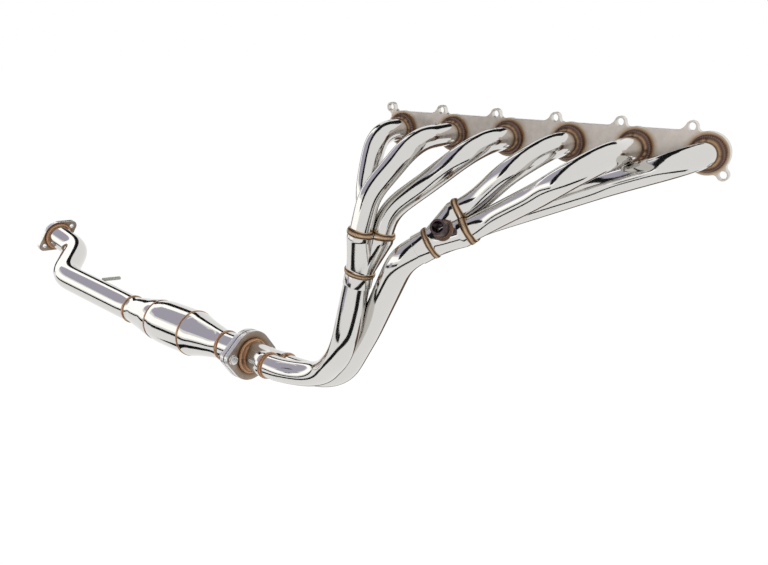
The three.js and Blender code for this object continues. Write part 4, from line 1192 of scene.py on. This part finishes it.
BLACK = (0.012, 0.012, 0.012)
LILAC = (0.5, 0.48, 0.58)
PALE = (1.55, 1.54, 1.52)
SHADE = (0.13, 0.08, 0.055)
CONVERTER_AT = (-800, -75, -478)
TUBES_AT = (-60, -110, -50)
REAR_SECOND_AT = (-300, -165, -380)
JOINT_PIPE_AT = (-432, -147, -459)
CARDS = {
    "panel": (CONVERTER_AT, 2000, LILAC, [(-160, 40, 15), (-118, 40, 17), (-64, 42, 17)]),
    "low_line": (
        CONVERTER_AT, 1900, BLACK,
        [(-98, -3, 1.5), (-106, -5, 2.5), (-122, -8, 4), (-138, -11, 4), (-160, -16, 4),
         (-178, -19, 4)],
    ),
    "high_line": (
        CONVERTER_AT, 1900, BLACK,
        [(-86, -4, 6), (-70, 12, 6), (-58, 24, 7), (-47, 38, 6), (-39, 52, 5), (-28, 68, 4)],
    ),
    "low_light": (
        CONVERTER_AT, 2100, PALE, [(-178, 2, 8), (-150, 6, 9), (-128, 10, 9), (-98, 9, 9)],
    ),
    "high_light": (
        CONVERTER_AT, 1950, PALE,
        [(-98, 10, 8), (-80, 23, 8), (-68, 35, 7), (-57, 50, 7), (-50, 68, 6)],
    ),
    "tube_panel": (TUBES_AT, 1850, LILAC, [(-128, 14, 12), (-122, 38, 14), (-88, 52, 13)]),
    "tube_frame": (
        TUBES_AT, 1700, BLACK,
        [(-2, 28, 12), (-25, 50, 13), (-60, 67, 12), (-108, 62, 10), (-138, 44, 9), (-143, 24, 10),
         (-149, 6, 9), (-152, -10, 4)],
    ),
    "tube_shade": (TUBES_AT, 1500, SHADE, [(-66, -46, 11), (-20, -36, 12), (30, -46, 11)]),
    "front_line": (
        REAR_SECOND_AT, 1300, BLACK,
        [(88, -24, 5), (117, -31, 7), (140, -35, 6), (182, -38, 6), (235, -35, 5), (270, -30, 4)],
    ),
    "pipe_light": (JOINT_PIPE_AT, 350, LILAC, [(-166, 24, 12), (-153, 25, 13), (-142, 26, 12)]),
}
for name, card in CARDS.items():
    ribbon(name, *card)

FLOOR_Z = -1.25
FLOOR_REACH = 30
floor_mesh = bpy.data.meshes.new("floor")
near, far = -FLOOR_REACH, FLOOR_REACH
floor_corners = [(x, y, FLOOR_Z) for x, y in ((near, near), (far, near), (far, far), (near, far))]
floor_mesh.from_pydata(floor_corners, [], [(0, 1, 2, 3)])
floor = linked("floor", floor_mesh)


def seen_white(tree):
    """1 for the rays that should see a white surround: camera, glossy and transmission."""
    path = node(tree, "LightPath")
    seen = maths(tree, "MAXIMUM", path.outputs["Is Camera Ray"], path.outputs["Is Glossy Ray"])
    return maths(tree, "MAXIMUM", seen, path.outputs["Is Transmission Ray"])


def two_looks(tree, share, first, second, output):
    """Sends a mix of two shaders to the output."""
    both = node(tree, "MixShader", Fac=share)
    tree.links.new(first.outputs[0], both.inputs[1])
    tree.links.new(second.outputs[0], both.inputs[2])
    node(tree, output, Surface=both.outputs["Shader"])


floor_paint, tree = surface("floor_paint")
tree.nodes.clear()
matte = node(tree, "BsdfDiffuse", Color=(0.9, 0.9, 0.9, 1))
bright = node(tree, "Emission", Color=(1, 1, 1, 1), Strength=1.04)
two_looks(tree, maths(tree, "MULTIPLY", seen_white(tree), 0.92), matte, bright, "OutputMaterial")
floor_mesh.materials.append(floor_paint)

world = bpy.data.worlds.new("studio")
bpy.context.scene.world = world
world.use_nodes = True
tree = world.node_tree
tree.nodes.clear()
soft = node(tree, "Background", Color=(0.97, 0.98, 1, 1), Strength=0.7)
white = node(tree, "Background", Color=(1, 1, 1, 1), Strength=1.0)
two_looks(tree, seen_white(tree), soft, white, "OutputWorld")


def aimed(thing, place, way):
    """Puts a camera or a lamp at a place, facing a way."""
    thing.location = place
    thing.rotation_mode = "QUATERNION"
    thing.rotation_quaternion = way.to_track_quat("-Z", "Y")


# Camera at the photograph's place
CAMERA_AZIMUTH = 35.7
CAMERA_ELEVATION = 17.5
CAMERA_PLACE = (546.9, -1187.6, 165.1)
azimuth, elevation = math.radians(CAMERA_AZIMUTH), math.radians(CAMERA_ELEVATION)
back = Vector((
    math.sin(azimuth) * math.cos(elevation),
    -math.cos(azimuth) * math.cos(elevation),
    math.sin(elevation),
))
camera_data = bpy.data.cameras.new("camera")
camera_data.sensor_width = 36
camera_data.lens = 37.5
camera_data.clip_start = 0.05
camera_data.clip_end = 200
camera = linked("camera", camera_data)
aimed(camera, Vector(CAMERA_PLACE) * MM, -back)
bpy.context.scene.camera = camera
bpy.context.scene.view_settings.view_transform = "Standard"

# One soft lamp, which no reflection shows
KEY_PLACE = Vector((-0.6, -1.6, 2.6))
KEY_TARGET = Vector((-0.6, -0.1, -0.3))
key_data = bpy.data.lights.new("key", "AREA")
key_data.shape = "RECTANGLE"
key_data.size = 3
key_data.size_y = 2
key_data.energy = 40
key = linked("key", key_data)
aimed(key, KEY_PLACE, KEY_TARGET - KEY_PLACE)
key.visible_glossy = False

bpy.context.view_layer.update()
